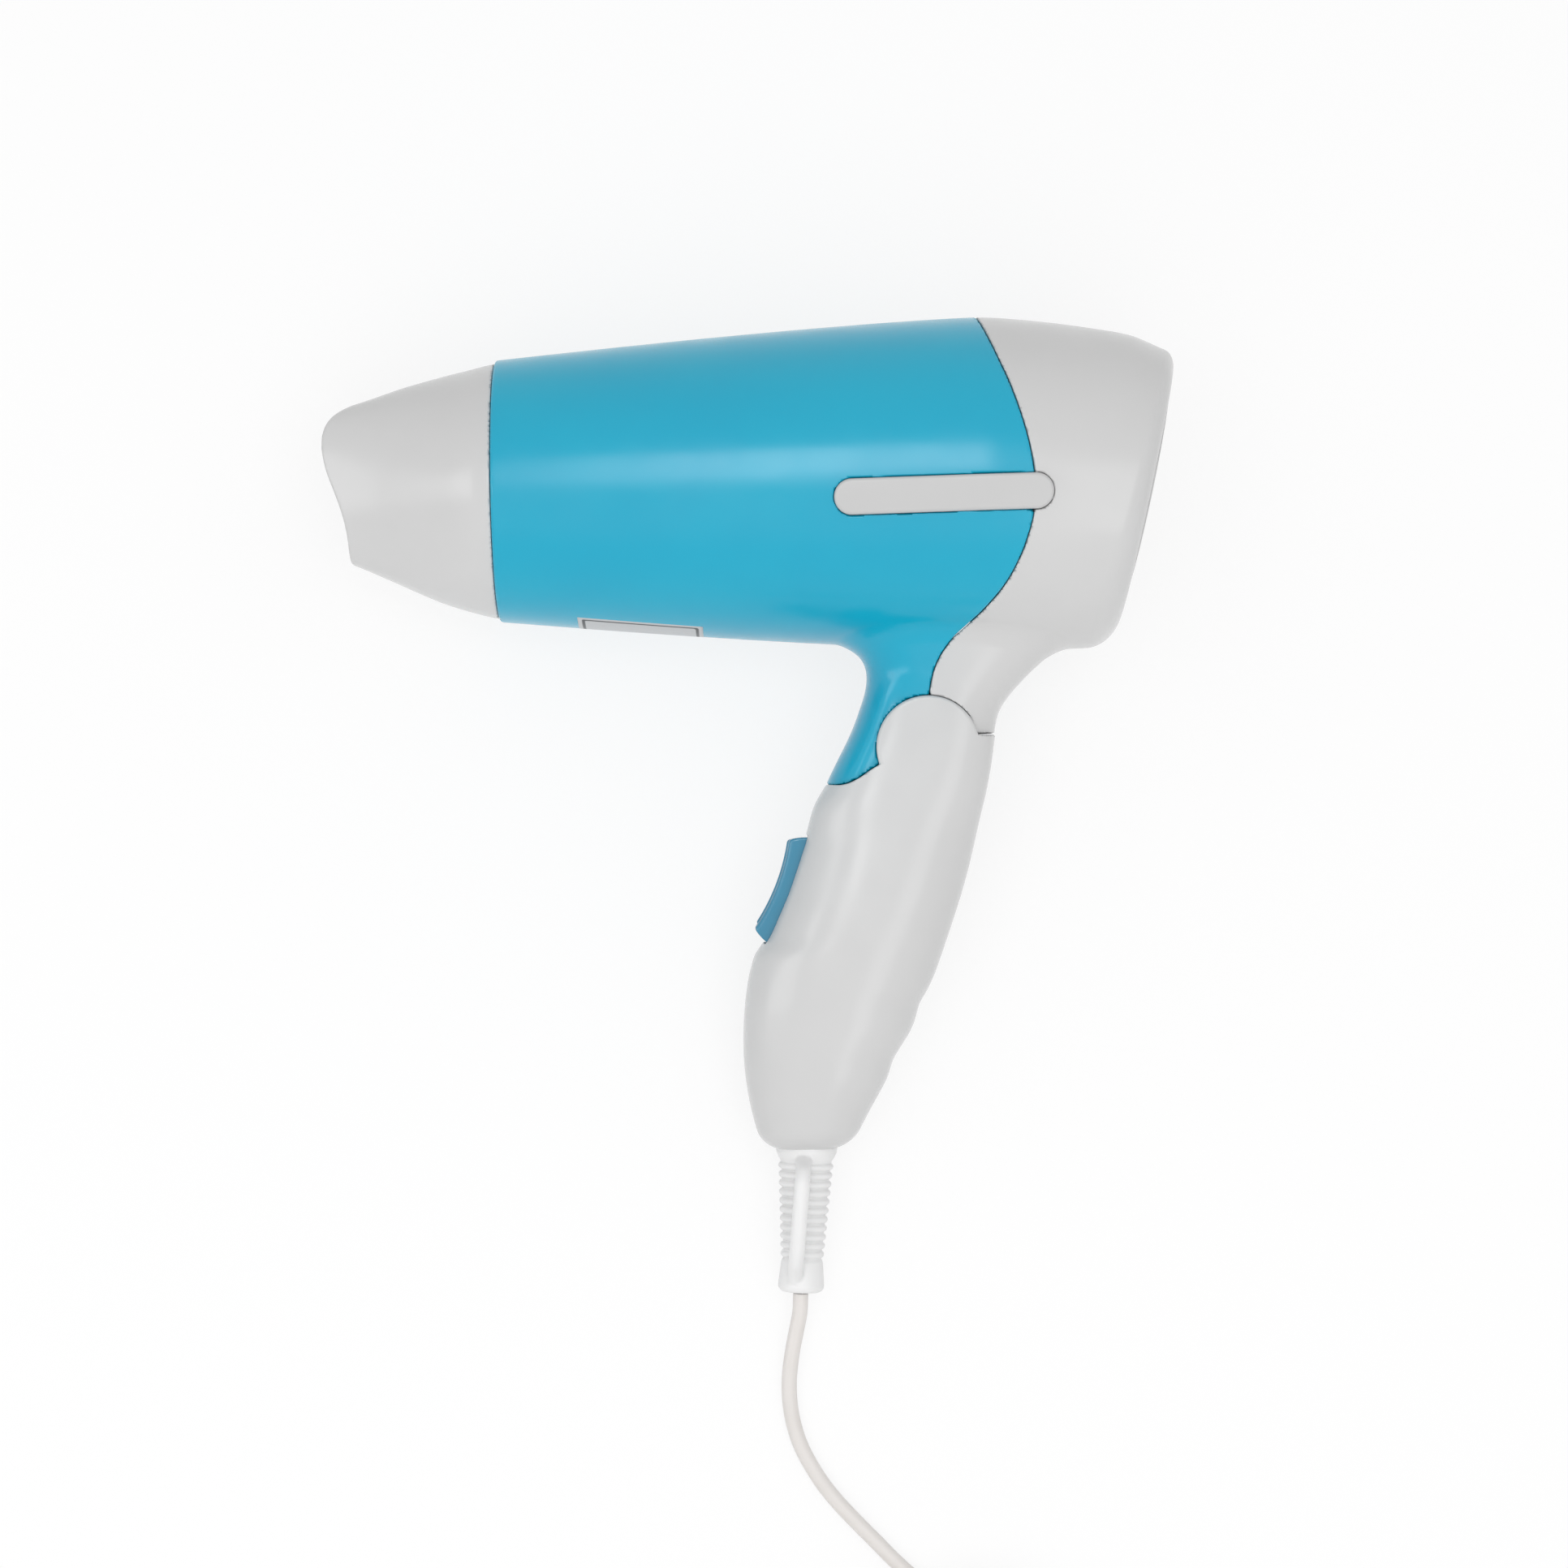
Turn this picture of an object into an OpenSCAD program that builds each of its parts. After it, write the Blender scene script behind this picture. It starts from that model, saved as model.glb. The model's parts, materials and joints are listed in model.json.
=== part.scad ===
// Folding hair dryer with a concentrator nozzle, lying on its side on a table.
//
// Each piece of the dryer is drawn in the dryer's own upright frame: x runs from the air outlet
// to the air inlet, z points away from the handle and y is across. x = 0 is the front rim of the
// barrel, and y = z = 0 is the barrel's axis. lay_down() then puts it on the table, where +Z is up.

/* [Barrel] */
// Outside diameter of the barrel at its front
barrel_front_d = 61.4; // [56:0.1:68]
// Outside diameter of the barrel where it is widest
barrel_rear_d = 78; // [74:0.5:88]
// Length of the round barrel, from its front rim to the tapering tail
barrel_l = 129; // [129:1:154]
// Length of the tapering tail behind the barrel, at its middle
tail_l = 23.2; // [19:0.2:30]
// Diameter of the tail at its rear rim
tail_d = 61; // [60:0.5:66]
// Lean of the rear rim, in degrees
tail_lean = 12.5; // [6:0.5:15]
// Wall of the two head shells
shell_wall = 2; // [1.6:0.1:2.4]

/* [Fold] */
// Distance of the fold pivot behind the front rim
pivot_x = 99.7; // [96:0.1:103]
// Distance of the fold pivot below the barrel's axis
pivot_drop = 61.8; // [60:0.1:70]
// Radius of the round cheeks at the top of the handle
cheek_r = 12; // [11.5:0.1:13]
// Thickness of each cheek
cheek_t = 2.4; // [2:0.1:3]
// Diameter of the steel pivot pin
pin_d = 5; // [4:0.1:6]

/* [Handle] */
// Height of the handle, from the pivot to its lower end
handle_l = 93.8; // [90:0.2:113]
// Greatest half width of the grip
grip_half_w = 17.2; // [16:0.1:20.6]
// Wall of the handle halves
handle_wall = 2.2; // [1.8:0.1:2.6]

/* [Switch] */
// Length of the rocker
rocker_l = 26; // [21.5:0.5:28]
// Width of the rocker
rocker_w = 11; // [9:0.5:13.5]
// Tilt of the rocker each way, in degrees
rocker_tilt = 7; // [4:1:8]

/* [Nozzle] */
// Length of the nozzle at its axis
nozzle_l = 38.3; // [32:0.5:46]
// Height of the nozzle's mouth
mouth_h = 35.6; // [30:0.2:43]
// Width of the nozzle's mouth
mouth_w = 16; // [13:0.5:20]
// Wall of the nozzle
nozzle_wall = 1.6; // [1.3:0.1:2]

/* [Air path] */
// Outside diameter of the outlet collar that carries the nozzle
collar_d = 50; // [44:0.5:50]
// Outside diameter of the heater sleeve
sleeve_d = 48; // [42:0.5:48]
// Diameter of the fan
fan_d = 60; // [50:0.5:61]
// Number of fan blades
fan_blades = 7; // [5:1:9]
// Diameter of the motor
motor_d = 27.6; // [24:0.2:33]
// Length of the motor
motor_l = 31; // [25:0.5:32]
// Diameter of the motor shaft
shaft_d = 2.3; // [2:0.1:3]

/* [Cord] */
// Diameter of the cord
cord_d = 3.6; // [3:0.1:4.3]
// Length of the strain relief outside the handle
relief_l = 34.2; // [28:0.2:41]
// Diameter of a plug pin
plug_pin_d = 4.8; // [4:0.1:4.8]
// Length of a plug pin
plug_pin_l = 19; // [16:0.5:19]

/* [Hidden] */
$fn = 64;

sky_blue = "#2fa6c9";
light_grey = "#d4d4d5";
white = "#e4e4e4";
dark_grey = "#4a4c4f";
mica = "#c9b99a";
steel = "#a9abad";
copper = "#b87a4b";

gap = 0.3;          // between shells and covers that meet
run_gap = 0.05;     // around a shaft or pin that turns, on the radius
seat_gap = 0.1;     // around a piece that sits in another
far = 60;           // half width of a cutting tool, past the whole dryer

barrel_front_r = barrel_front_d / 2;
barrel_rear_r = barrel_rear_d / 2;
pivot_z = -pivot_drop;

// ---- curves and lofts ------------------------------------------------------

function mix(a, b, t) = a + (b - a) * t;
function row_before(rows, s, i = 0) =
    i >= len(rows) - 2 || (s - rows[i + 1][0]) * sign(rows[1][0] - rows[0][0]) <= 0
        ? i : row_before(rows, s, i + 1);
// Column k of rows [place, values...] at a place between them.
function value_at(rows, s, k) =
    let (i = row_before(rows, s))
    mix(rows[i][k], rows[i + 1][k], (s - rows[i][0]) / (rows[i + 1][0] - rows[i][0]));
function arc(cx, cy, r, a0, a1, n) = [for (i = [0 : n])
    let (a = mix(a0, a1, i / n)) [cx + r * cos(a), cy + r * sin(a)]];
// Corner points of an oval with flattened sides, as [across, along].
function oval(half_a, half_b, n, squareness) = [for (i = [0 : n - 1])
    let (a = 360 * (i + 0.5) / n, p = 2 / squareness)
    [half_a * sign(cos(a)) * abs(cos(a)) ^ p, half_b * sign(sin(a)) * abs(sin(a)) ^ p]];

// A closed solid through rings that all have the same number of points.
module skin(rings) {
    n = len(rings[0]);
    m = len(rings);
    sides = [for (i = [0 : m - 2], j = [0 : n - 1]) let (k = (j + 1) % n) each [
        [i * n + j, (i + 1) * n + k, i * n + k],
        [i * n + j, (i + 1) * n + j, (i + 1) * n + k]]];
    first = [for (j = [0 : n - 1]) j];
    last = [for (j = [n - 1 : -1 : 0]) (m - 1) * n + j];
    polyhedron([for (r = rings) each r], concat([first], sides, [last]));
}

// A round tube of radius r along points, in sides flat faces.
function unit(v) = v / norm(v);
function along(p, i) = unit(p[min(i + 1, len(p) - 1)] - p[max(i - 1, 0)]);
module tube_along(points, r, sides = 8) skin([for (i = [0 : len(points) - 1])
    let (t = along(points, i), u = unit(cross(t, [0.03, 0.02, 1])), v = cross(t, u))
    [for (j = [0 : sides - 1]) let (a = 360 * j / sides) points[i] + r * (cos(a) * u + sin(a) * v)]]);

// ---- placing ---------------------------------------------------------------

module along_x(x) translate([x, 0, 0]) rotate([0, 90, 0]) children();
// A turned piece about the barrel's axis, from points [radius, x].
module turned(points) rotate([0, 90, 0]) rotate_extrude() polygon(points);
module ring_x(x0, x1, r_in, r_out) turned([[r_in, x0], [r_out, x0], [r_out, x1], [r_in, x1]]);
// A side outline of points [x, z], from y0 to y1.
module side_prism(points, y0 = -far, y1 = far) translate([0, y1, 0]) rotate([90, 0, 0])
    linear_extrude(height = y1 - y0) polygon(points);
module at_pivot() translate([pivot_x, 0, pivot_z]) children();
module pin_y(r, y0, y1) translate([0, y0, 0]) rotate([-90, 0, 0]) cylinder(h = y1 - y0, r = r);
module both_sides() for (s = [0, 1]) mirror([0, s, 0]) children();

// ---- outer shape of the head --------------------------------------------------

widest_x = 113;
function barrel_r(x) = x < widest_x
    ? barrel_rear_r - (barrel_rear_r - barrel_front_r) * ((widest_x - x) / widest_x) ^ 1.32
    : barrel_rear_r - 0.0014 * (x - widest_x) ^ 2;
rim_round = [[0.95, 0], [0.4, 0.5], [0.12, 1.2]];   // how far the front rim is rounded in, and where
barrel_steps = 12;
barrel_first = 2.2;
function barrel_line(out, x0) = [for (i = [0 : barrel_steps])
    let (x = mix(x0, barrel_l, i / barrel_steps)) [barrel_r(x) + out, x]];
module barrel_solid() turned(concat([[0, 0]],
    [for (p = rim_round) [barrel_r(p[1]) - p[0], p[1]]],
    barrel_line(0, barrel_first), [[0, barrel_l]]));
module barrel_core(out, x0 = barrel_first, tail = 0) turned(concat([[0, x0]],
    barrel_line(out, x0), [[barrel_r(barrel_l) + out, barrel_l + tail], [0, barrel_l + tail]]));

// Rings of the tail: [x, drop of the centre, radius, lean].
tail_drop = 2.3;
tail_end_x = barrel_l + tail_l;
tail_rows = [
    [barrel_l - 0.05, 0, barrel_r(barrel_l) - 0.03, 0],
    [barrel_l + 0.24 * tail_l, tail_drop * 0.42, mix(barrel_r(barrel_l), tail_d / 2, 0.07), tail_lean * 0.2],
    [barrel_l + 0.48 * tail_l, tail_drop * 0.8, mix(barrel_r(barrel_l), tail_d / 2, 0.15), tail_lean * 0.41],
    [barrel_l + 0.69 * tail_l, tail_drop, mix(barrel_r(barrel_l), tail_d / 2, 0.26), tail_lean * 0.62],
    [barrel_l + 0.98 * tail_l, tail_drop * 0.85, tail_d / 2 + 2.3, tail_lean * 0.95],
    [tail_end_x, tail_drop, tail_d / 2, tail_lean],
];
tail_points = 40;
module tail_solid(inset = 0, back = 0) skin([for (r = tail_rows) [for (i = [0 : tail_points - 1])
    let (a = 360 * i / tail_points, k = r[2] - inset)
    [r[0] - back + k * cos(a) * sin(r[3]), -k * sin(a), -r[1] + k * cos(a) * cos(r[3])]]]);
module at_inlet() translate([tail_end_x, 0, -tail_drop]) rotate([0, 90 + tail_lean, 0]) children();

// The seam between the two head shells, from above the barrel to the pivot: a long arc, a
// rounder one that turns forward under the barrel, and a short reverse one down to the cheek.
seam_top_x = widest_x - 0.6;
seam_line = concat(
    [[seam_top_x - 1.5, barrel_rear_r + 6]],
    arc(seam_top_x + 12 - 178, -5, 178, 13, 0, 6),
    arc(seam_top_x + 12 - 34, -5, 34, -7, -51, 6),
    [[pivot_x + 6.4, -36.4], [pivot_x + 3, -41], [pivot_x + 1.1, -45.6], [pivot_x + 0.5, -50],
        [pivot_x + 0.5, pivot_z]]);
module front_side(back = 0) translate([-back, 0, 0]) side_prism(concat([[-80, 80], [seam_line[0][0], 80]],
    seam_line, [[pivot_x + 0.5, -120], [-80, -120]]));

// ---- outer shape of the neck and the grip ---------------------------------------

knuckle_half = 12.7;                    // half width of the neck between the cheeks
cheek_in = knuckle_half + gap;          // inner face of each cheek
cheek_out = cheek_in + cheek_t;
knuckle_r = cheek_r - 0.5;
fold_angle = 70;
// [height from the pivot, front, rear, half width], front and rear from the pivot. The neck
// flares where it meets the barrel.
neck_rows = [
    [30, -25, 36, knuckle_half + 5],
    [24.5, -21, 33, knuckle_half + 2.6],
    [21, -15, 29, knuckle_half + 1],
    [17, -13.7, 24.4, knuckle_half + 0.2],
    [13.2, -14.2, 20.8, knuckle_half],
    [9, -15.6, 17.5, knuckle_half],
    [5.2, -17, 16.3, knuckle_half],
    [0, -19.5, 15.7, knuckle_half],
    [-4, -21.6, 15.1, knuckle_half],
    [-9.5, -24.3, 14, knuckle_half],
];
g = handle_l / 93.8;                    // stretch of the grip below the cheeks
w = grip_half_w / 17.2;                 // and across it
grip_rows = [
    [4, -17.4, 16.1, cheek_out],
    [-2.2, -20.3, 15.4, cheek_out],
    [-8.2, -23.6, 14.3, cheek_out + 0.2],
    [-14 * g, -26.8, 13, mix(cheek_out, 16 * w, 0.5)],
    [-22 * g, -29.2, 11.1, 16.4 * w],
    [-31 * g, -32.2, 8.7, 16.9 * w],
    [-40.2 * g, -36.1, 5.7, 17.2 * w],
    [-48.2 * g, -41, 3, 17.2 * w],
    [-55.6 * g, -43, 0, 17 * w],
    [-59.4 * g, -43.6, -2.1, 16.8 * w],
    [-63.2 * g, -43.9, -3.3, 16.6 * w],
    [-67.4 * g, -44, -5.4, 16.2 * w],
    [-72.3 * g, -44, -8.5, 15.6 * w],
    [-76.9 * g, -43.7, -10.2, 15 * w],
    [-81.4 * g, -43.1, -12.6, 14.3 * w],
    [-86 * g, -42.2, -15.2, 13.4 * w],
    [-90.1 * g, -40.9, -17.5, 12.2 * w],
    [-handle_l + 1.2, -38.9, -19, 10.9 * w],
    [-handle_l, -36.7, -22.7, 9 * w],
];
ring_points = 24;
module loft_down(rows, inset = 0) at_pivot() skin([for (r = rows)
    let (half = (r[2] - r[1]) / 2 - inset, cx = (r[1] + r[2]) / 2)
    [for (p = oval(half, r[3] - inset, ring_points, 2.5)) [cx + p[0], -p[1], r[0]]]]);
cavity_rows = concat(
    [for (i = [0 : len(grip_rows) - 4]) grip_rows[i]],
    [[-handle_l + handle_wall, grip_rows[len(grip_rows) - 3][1] + 1.5, grip_rows[len(grip_rows) - 3][2] - 3.5,
        grip_rows[len(grip_rows) - 3][3] - 2]]);

// Where the neck ends and the handle begins, from the cheek out to the tip of the front lip.
lip_edge = [[-11.2, -3.6], [-13.6, -5.2], [-15.9, -6.8], [-19.7, -8.4], [-23.6, -8.2], [-40, -7.6]];
rear_edge = 2.7;
lip_reach = 25.5;                       // the lip's tip stays inside this radius about the pivot
lip_angle = atan2(-8.2, -23.6) + 360;
function lip_line(down) = [for (p = lip_edge) [p[0], p[1] - down]];
module above_handle() at_pivot() side_prism(concat([[50, rear_edge + gap], [0, rear_edge + gap]],
    lip_line(0), [[-60, 90], [50, 90]]));
module below_neck() at_pivot() side_prism(concat([[50, rear_edge], [0, rear_edge]],
    lip_line(gap), [[-60, -160], [50, -160]]));

// ---- the head's shells ------------------------------------------------------------

module neck_solid() intersection() {
    loft_down(neck_rows);
    union() {
        above_handle();
        at_pivot() pin_y(knuckle_r, -far, far);
    }
}
neck_wall = 1.9;
module neck_hollow() loft_down([for (r = neck_rows)
    [r[0], r[1] + 2, r[2] - 2, min(r[3], knuckle_half) - neck_wall]]);
// The knuckle turns between the cheeks; its cut leaves the front shell clear of it.
module knuckle() at_pivot() pin_y(knuckle_r, -knuckle_half, knuckle_half);
module knuckle_bores() at_pivot() {
    pin_y(pin_d / 2 + run_gap, -far, far);
    both_sides() pin_y(washer_r + seat_gap, knuckle_half - washer_t + gap - 0.1, far);
}

trim_l = 50;
trim_h = 8.2;
trim_x = barrel_l - 50.5;
trim_z = -4.9;
trim_proud = 0.9;
trim_seat = 1;
// A bar with round ends, along x, standing across y.
module trim_bar(grow) let (r = trim_h / 2) translate([trim_x, 0, trim_z]) rotate([0, -0.9, 0])
    side_prism(concat(arc(trim_l - r, 0, r + grow, -90, 90, 10), arc(r, 0, r + grow, 90, 270, 10)), 20, far);
module trim_pocket() both_sides() difference() {
    trim_bar(seat_gap);
    barrel_core(-trim_seat - seat_gap / 2, 60, 2);
}

label_l = 29.4;
label_w = 24;
label_x = 18.5;
label_t = 0.25;
module label_block(grow) translate([label_x - grow, -label_w / 2 - grow, -far])
    cube([label_l + 2 * grow, label_w + 2 * grow, far - 10]);

screw_turn = 53.8;                      // angle of each shell screw from the top
screw_ring = barrel_r(widest_x) - 5;
boss_r = 3.2;
boss_seam_x = seam_top_x + 6.9;
module at_shell_screws() both_sides() translate([0, screw_ring * sin(screw_turn), screw_ring * cos(screw_turn)])
    rotate([0, 90, 0]) children();

module front_shell() color(sky_blue) difference() {
    union() {
        intersection() {
            difference() {
                barrel_solid();
                barrel_core(-shell_wall, barrel_first + 0.1);
            }
            front_side(gap);
        }
        intersection() {
            difference() {
                neck_solid();
                at_pivot() pin_y(knuckle_r + gap, -far, far);
                barrel_core(-1);
            }
            front_side(gap);
        }
        intersection() {
            at_shell_screws() translate([0, 0, boss_seam_x - 7.3]) cylinder(h = 11, r = boss_r);
            barrel_core(-1);
            front_side(gap);
        }
    }
    neck_hollow();
    along_x(-1) cylinder(h = 6, r = collar_d / 2 + seat_gap);
    at_shell_screws() translate([0, 0, boss_seam_x - 8]) cylinder(h = 20, r = shell_screw_d / 2 + run_gap);
    trim_pocket();
    difference() {
        label_block(seat_gap);
        barrel_core(-label_t - 0.02);
    }
}

module rear_shell() color(light_grey) difference() {
    union() {
        difference() {
            union() {
                barrel_solid();
                tail_solid();
                neck_solid();
            }
            front_side();
            barrel_core(-shell_wall, barrel_first, 0.1);
            tail_solid(shell_wall + 0.2, shell_wall);
            neck_hollow();
        }
        knuckle();
        difference() {
            intersection() {
                at_shell_screws() translate([0, 0, boss_seam_x - 4]) cylinder(h = 12, r = boss_r);
                barrel_core(-1);
            }
            front_side();
        }
    }
    knuckle_bores();
    at_shell_screws() translate([0, 0, boss_seam_x - 8]) cylinder(h = 20, r = shell_screw_d / 2 + run_gap);
    trim_pocket();
    at_inlet() cylinder(h = 30, r = grille_r + seat_gap, center = true);
}

module trim_strip() color(white) intersection() {
    difference() {
        barrel_core(trim_proud, 60, 2);
        barrel_core(-trim_seat, 60, 2);
    }
    trim_bar(0);
}
module trim_left() mirror([0, 1, 0]) trim_strip();
module trim_right() trim_strip();

module rating_label() color(steel) intersection() {
    difference() {
        barrel_core(0);
        barrel_core(-label_t);
    }
    label_block(0);
}

// ---- nozzle ---------------------------------------------------------------------

collar_r = collar_d / 2;
collar_out = 6.6;                       // how far the collar stands out of the barrel
clip_t = 1.5;
clip_r = collar_r + run_gap + clip_t;
bead_x = -3.6;
bead_w = 1.2;
bead_h = 0.4;
nozzle_base_r = barrel_front_r - 0.7;
// [x, top, bottom, half width, squareness of the oval]
nozzle_rows = [
    [0, nozzle_base_r - 0.4, -nozzle_base_r + 0.4, nozzle_base_r - 0.4, 2],
    [-0.7, nozzle_base_r, -nozzle_base_r, nozzle_base_r, 2],
    [-7, nozzle_base_r * 0.945, -nozzle_base_r * 0.94, nozzle_base_r * 0.955, 2],
    [-0.32 * nozzle_l, mix(nozzle_base_r, mouth_h / 2 + 2, 0.27), -mix(nozzle_base_r, mouth_h / 2, 0.28),
        mix(nozzle_base_r, mouth_w / 2, 0.22), 2.1],
    [-0.56 * nozzle_l, mix(nozzle_base_r, mouth_h / 2 + 2, 0.49), -mix(nozzle_base_r, mouth_h / 2, 0.58),
        mix(nozzle_base_r, mouth_w / 2, 0.5), 2.3],
    [-0.8 * nozzle_l, mix(nozzle_base_r, mouth_h / 2 + 2, 0.83), -mix(nozzle_base_r, mouth_h / 2, 0.94),
        mix(nozzle_base_r, mouth_w / 2, 0.78), 2.6],
    [-1.15 * nozzle_l, mouth_h / 2 + 0.6, -mouth_h / 2 + 2.6, mouth_w / 2, 3.2],
];
nozzle_points = 36;
module nozzle_loft(rows, inset) skin([for (r = rows)
    [for (p = oval((r[1] - r[2]) / 2 - inset, r[3] - inset, nozzle_points, r[4]))
        [r[0], p[1], (r[1] + r[2]) / 2 + p[0]]]]);
// The mouth's edge swings back towards its lower end.
mouth_edge = [for (t = [-1.2 : 0.2 : 1.2])
    [-nozzle_l - (t > 0 ? 2.6 * sin(90 * min(t, 1.2) / 0.8) : 3.4 * sin(90 * max(t, -1) )), t * mouth_h / 2]];
module past_mouth() side_prism(concat(mouth_edge, [[-nozzle_l - 30, 30], [-nozzle_l - 30, -30]]));
nozzle_inner_rows = [for (i = [2 : len(nozzle_rows) - 1]) i == 2
    ? concat([-collar_out - 0.2], [for (k = [1 : 4]) nozzle_rows[2][k]])
    : i == len(nozzle_rows) - 1 ? concat([-1.2 * nozzle_l], [for (k = [1 : 4]) nozzle_rows[i][k]])
    : nozzle_rows[i]];

module nozzle() color(light_grey) difference() {
    translate([-gap, 0, 0]) nozzle_loft(nozzle_rows, 0);
    nozzle_loft(nozzle_inner_rows, nozzle_wall);
    past_mouth();
    turned([[0, 1], [clip_r + run_gap, 1], [clip_r + run_gap, bead_x + bead_w / 2 + seat_gap],
        [clip_r + bead_h + run_gap, bead_x + bead_w / 2 + seat_gap],
        [clip_r + bead_h + run_gap, bead_x - bead_w / 2 - seat_gap],
        [clip_r + run_gap, bead_x - bead_w / 2 - seat_gap], [clip_r + run_gap, -collar_out - 0.4],
        [0, -collar_out - 0.4]]);
}

module nozzle_clip_ring() color(dark_grey) turned([[collar_r + run_gap, -gap], [clip_r, -gap],
    [clip_r, bead_x + bead_w / 2], [clip_r + bead_h, bead_x + bead_w / 2 - 0.3],
    [clip_r + bead_h, bead_x - bead_w / 2 + 0.3], [clip_r, bead_x - bead_w / 2],
    [clip_r, -collar_out + 0.4], [collar_r + run_gap, -collar_out + 0.4]]);

// ---- air path ---------------------------------------------------------------------

sleeve_r = sleeve_d / 2;
sleeve_t = 0.6;
sleeve_x0 = 8;
sleeve_x1 = 60;
collar_wall = 1.7;
flange_x = barrel_first + 0.2;
module outlet_collar() color(dark_grey) turned([
    [collar_r - collar_wall, -collar_out], [collar_r - 0.5, -collar_out], [collar_r, -collar_out + 0.5],
    [collar_r, flange_x], [barrel_r(flange_x) - shell_wall - 0.4, flange_x],
    [barrel_r(flange_x) - shell_wall - 0.4, flange_x + 1.8], [sleeve_r + 1.6, flange_x + 1.8],
    [sleeve_r + 1.6, sleeve_x0 + 9], [sleeve_r + run_gap, sleeve_x0 + 9], [sleeve_r + run_gap, sleeve_x0 - gap],
    [collar_r - collar_wall, sleeve_x0 - gap]]);

guard_r = min(collar_r - collar_wall, sleeve_r) - seat_gap;
guard_pitch = 4.6;
module outlet_guard() color(dark_grey) {
    ring_x(-0.6, 1.4, guard_r - 1.4, guard_r);
    for (r = [guard_pitch : guard_pitch : guard_r - 3]) ring_x(-0.2, 1, r - 0.5, r + 0.5);
    for (a = [0 : 60 : 120]) rotate([a, 0, 0]) translate([-0.4, -0.6, -guard_r + 0.8])
        cube([1.6, 1.2, 2 * guard_r - 1.6]);
}

module heater_sleeve() color(mica) ring_x(sleeve_x0, sleeve_x1, sleeve_r - sleeve_t, sleeve_r);

board_t = 0.8;
frame_half = sleeve_r - sleeve_t - 0.2;
coil_wire_r = 0.8;
coil_r = frame_half - 2.6 + coil_wire_r + seat_gap;
module heater_frame() color(mica) for (a = [0, 90]) rotate([a, 0, 0])
    side_prism([[sleeve_x0 + 1, -frame_half], [sleeve_x0 + 4, -frame_half], [sleeve_x0 + 4, -frame_half + 2.6],
        [sleeve_x1 - 5, -frame_half + 2.6], [sleeve_x1 - 5, -frame_half], [sleeve_x1 - 1, -frame_half],
        [sleeve_x1 - 1, frame_half], [sleeve_x1 - 5, frame_half], [sleeve_x1 - 5, frame_half - 2.6],
        [sleeve_x0 + 4, frame_half - 2.6], [sleeve_x0 + 4, frame_half], [sleeve_x0 + 1, frame_half]],
        -board_t / 2, board_t / 2);

coil_pitch = 4;
module heater_coils() color(copper) for (x = [sleeve_x0 + 6 : coil_pitch : sleeve_x1 - 7])
    translate([x, 0, 0]) rotate([0, 90, 0]) rotate_extrude() translate([coil_r, 0]) circle(r = coil_wire_r);

module thermostat() color(steel) translate([sleeve_x1 - 20, board_t / 2 + seat_gap, 5]) {
    cube([11, 2.4, 8]);
    translate([5.5, 2.3, 4]) rotate([-90, 0, 0]) cylinder(h = 2.4, r = 3.4);
}

fuse_r = 1.8;
module thermal_fuse() color(white) translate([sleeve_x0 + 12, -8, board_t / 2 + seat_gap + fuse_r]) rotate([0, 90, 0]) {
    cylinder(h = 10, r = fuse_r);
    translate([0, 0, -5]) cylinder(h = 20, r = 0.45);
}

fan_r = fan_d / 2;
duct_r = fan_r + 0.8;
duct_wall = 1.6;
duct_x0 = sleeve_x1 - 3;
duct_x1 = 112;
motor_r = motor_d / 2;
motor_x1 = 99;
motor_x0 = motor_x1 - motor_l;
cup_wall = 1.4;
flange_at = 105;
module fan_housing() color(dark_grey) {
    turned([[sleeve_r + run_gap, duct_x0], [sleeve_r + duct_wall, duct_x0], [sleeve_r + duct_wall, sleeve_x1 + 1],
        [duct_r + duct_wall, sleeve_x1 + 13], [duct_r + duct_wall, flange_at - 1],
        [barrel_r(flange_at) - shell_wall - gap, flange_at - 1], [barrel_r(flange_at) - shell_wall - gap, flange_at + 1],
        [duct_r + duct_wall, flange_at + 1], [duct_r + duct_wall, duct_x1], [duct_r, duct_x1],
        [duct_r, sleeve_x1 + 13], [sleeve_r - 0.4, sleeve_x1 + gap], [sleeve_r + run_gap, sleeve_x1 + gap]]);
    ring_x(motor_x1 - 22, motor_x1 - 1, motor_r + run_gap, motor_r + cup_wall);
    for (i = [0 : 5]) rotate([60 * i + 30, 0, 0]) translate([motor_x1 - 20, -0.6, motor_r + 0.7])
        cube([16, 1.2, duct_r - motor_r + 0.3]);
}

shaft_r = shaft_d / 2;
cap_t = 2.4;
module motor_can() color(steel) ring_x(motor_x0, motor_x1 - cap_t, shaft_r + run_gap, motor_r);
module motor_end_cap() color(dark_grey) turned([[shaft_r + run_gap, motor_x1 - cap_t], [motor_r, motor_x1 - cap_t],
    [motor_r, motor_x1 - 0.6], [motor_r - 0.8, motor_x1], [3.4, motor_x1], [3, motor_x1 + 1], [shaft_r + run_gap, motor_x1 + 1]]);

module rectifier_board() color("#3d6b45") {
    ring_x(motor_x0 - 1.7, motor_x0 - seat_gap, 3, motor_r - 1);
    for (i = [0 : 3]) rotate([90 * i + 45, 0, 0]) translate([motor_x0 - 4.2, -2.6, 5.5]) cube([2.5, 5.2, 2.6]);
}

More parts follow.
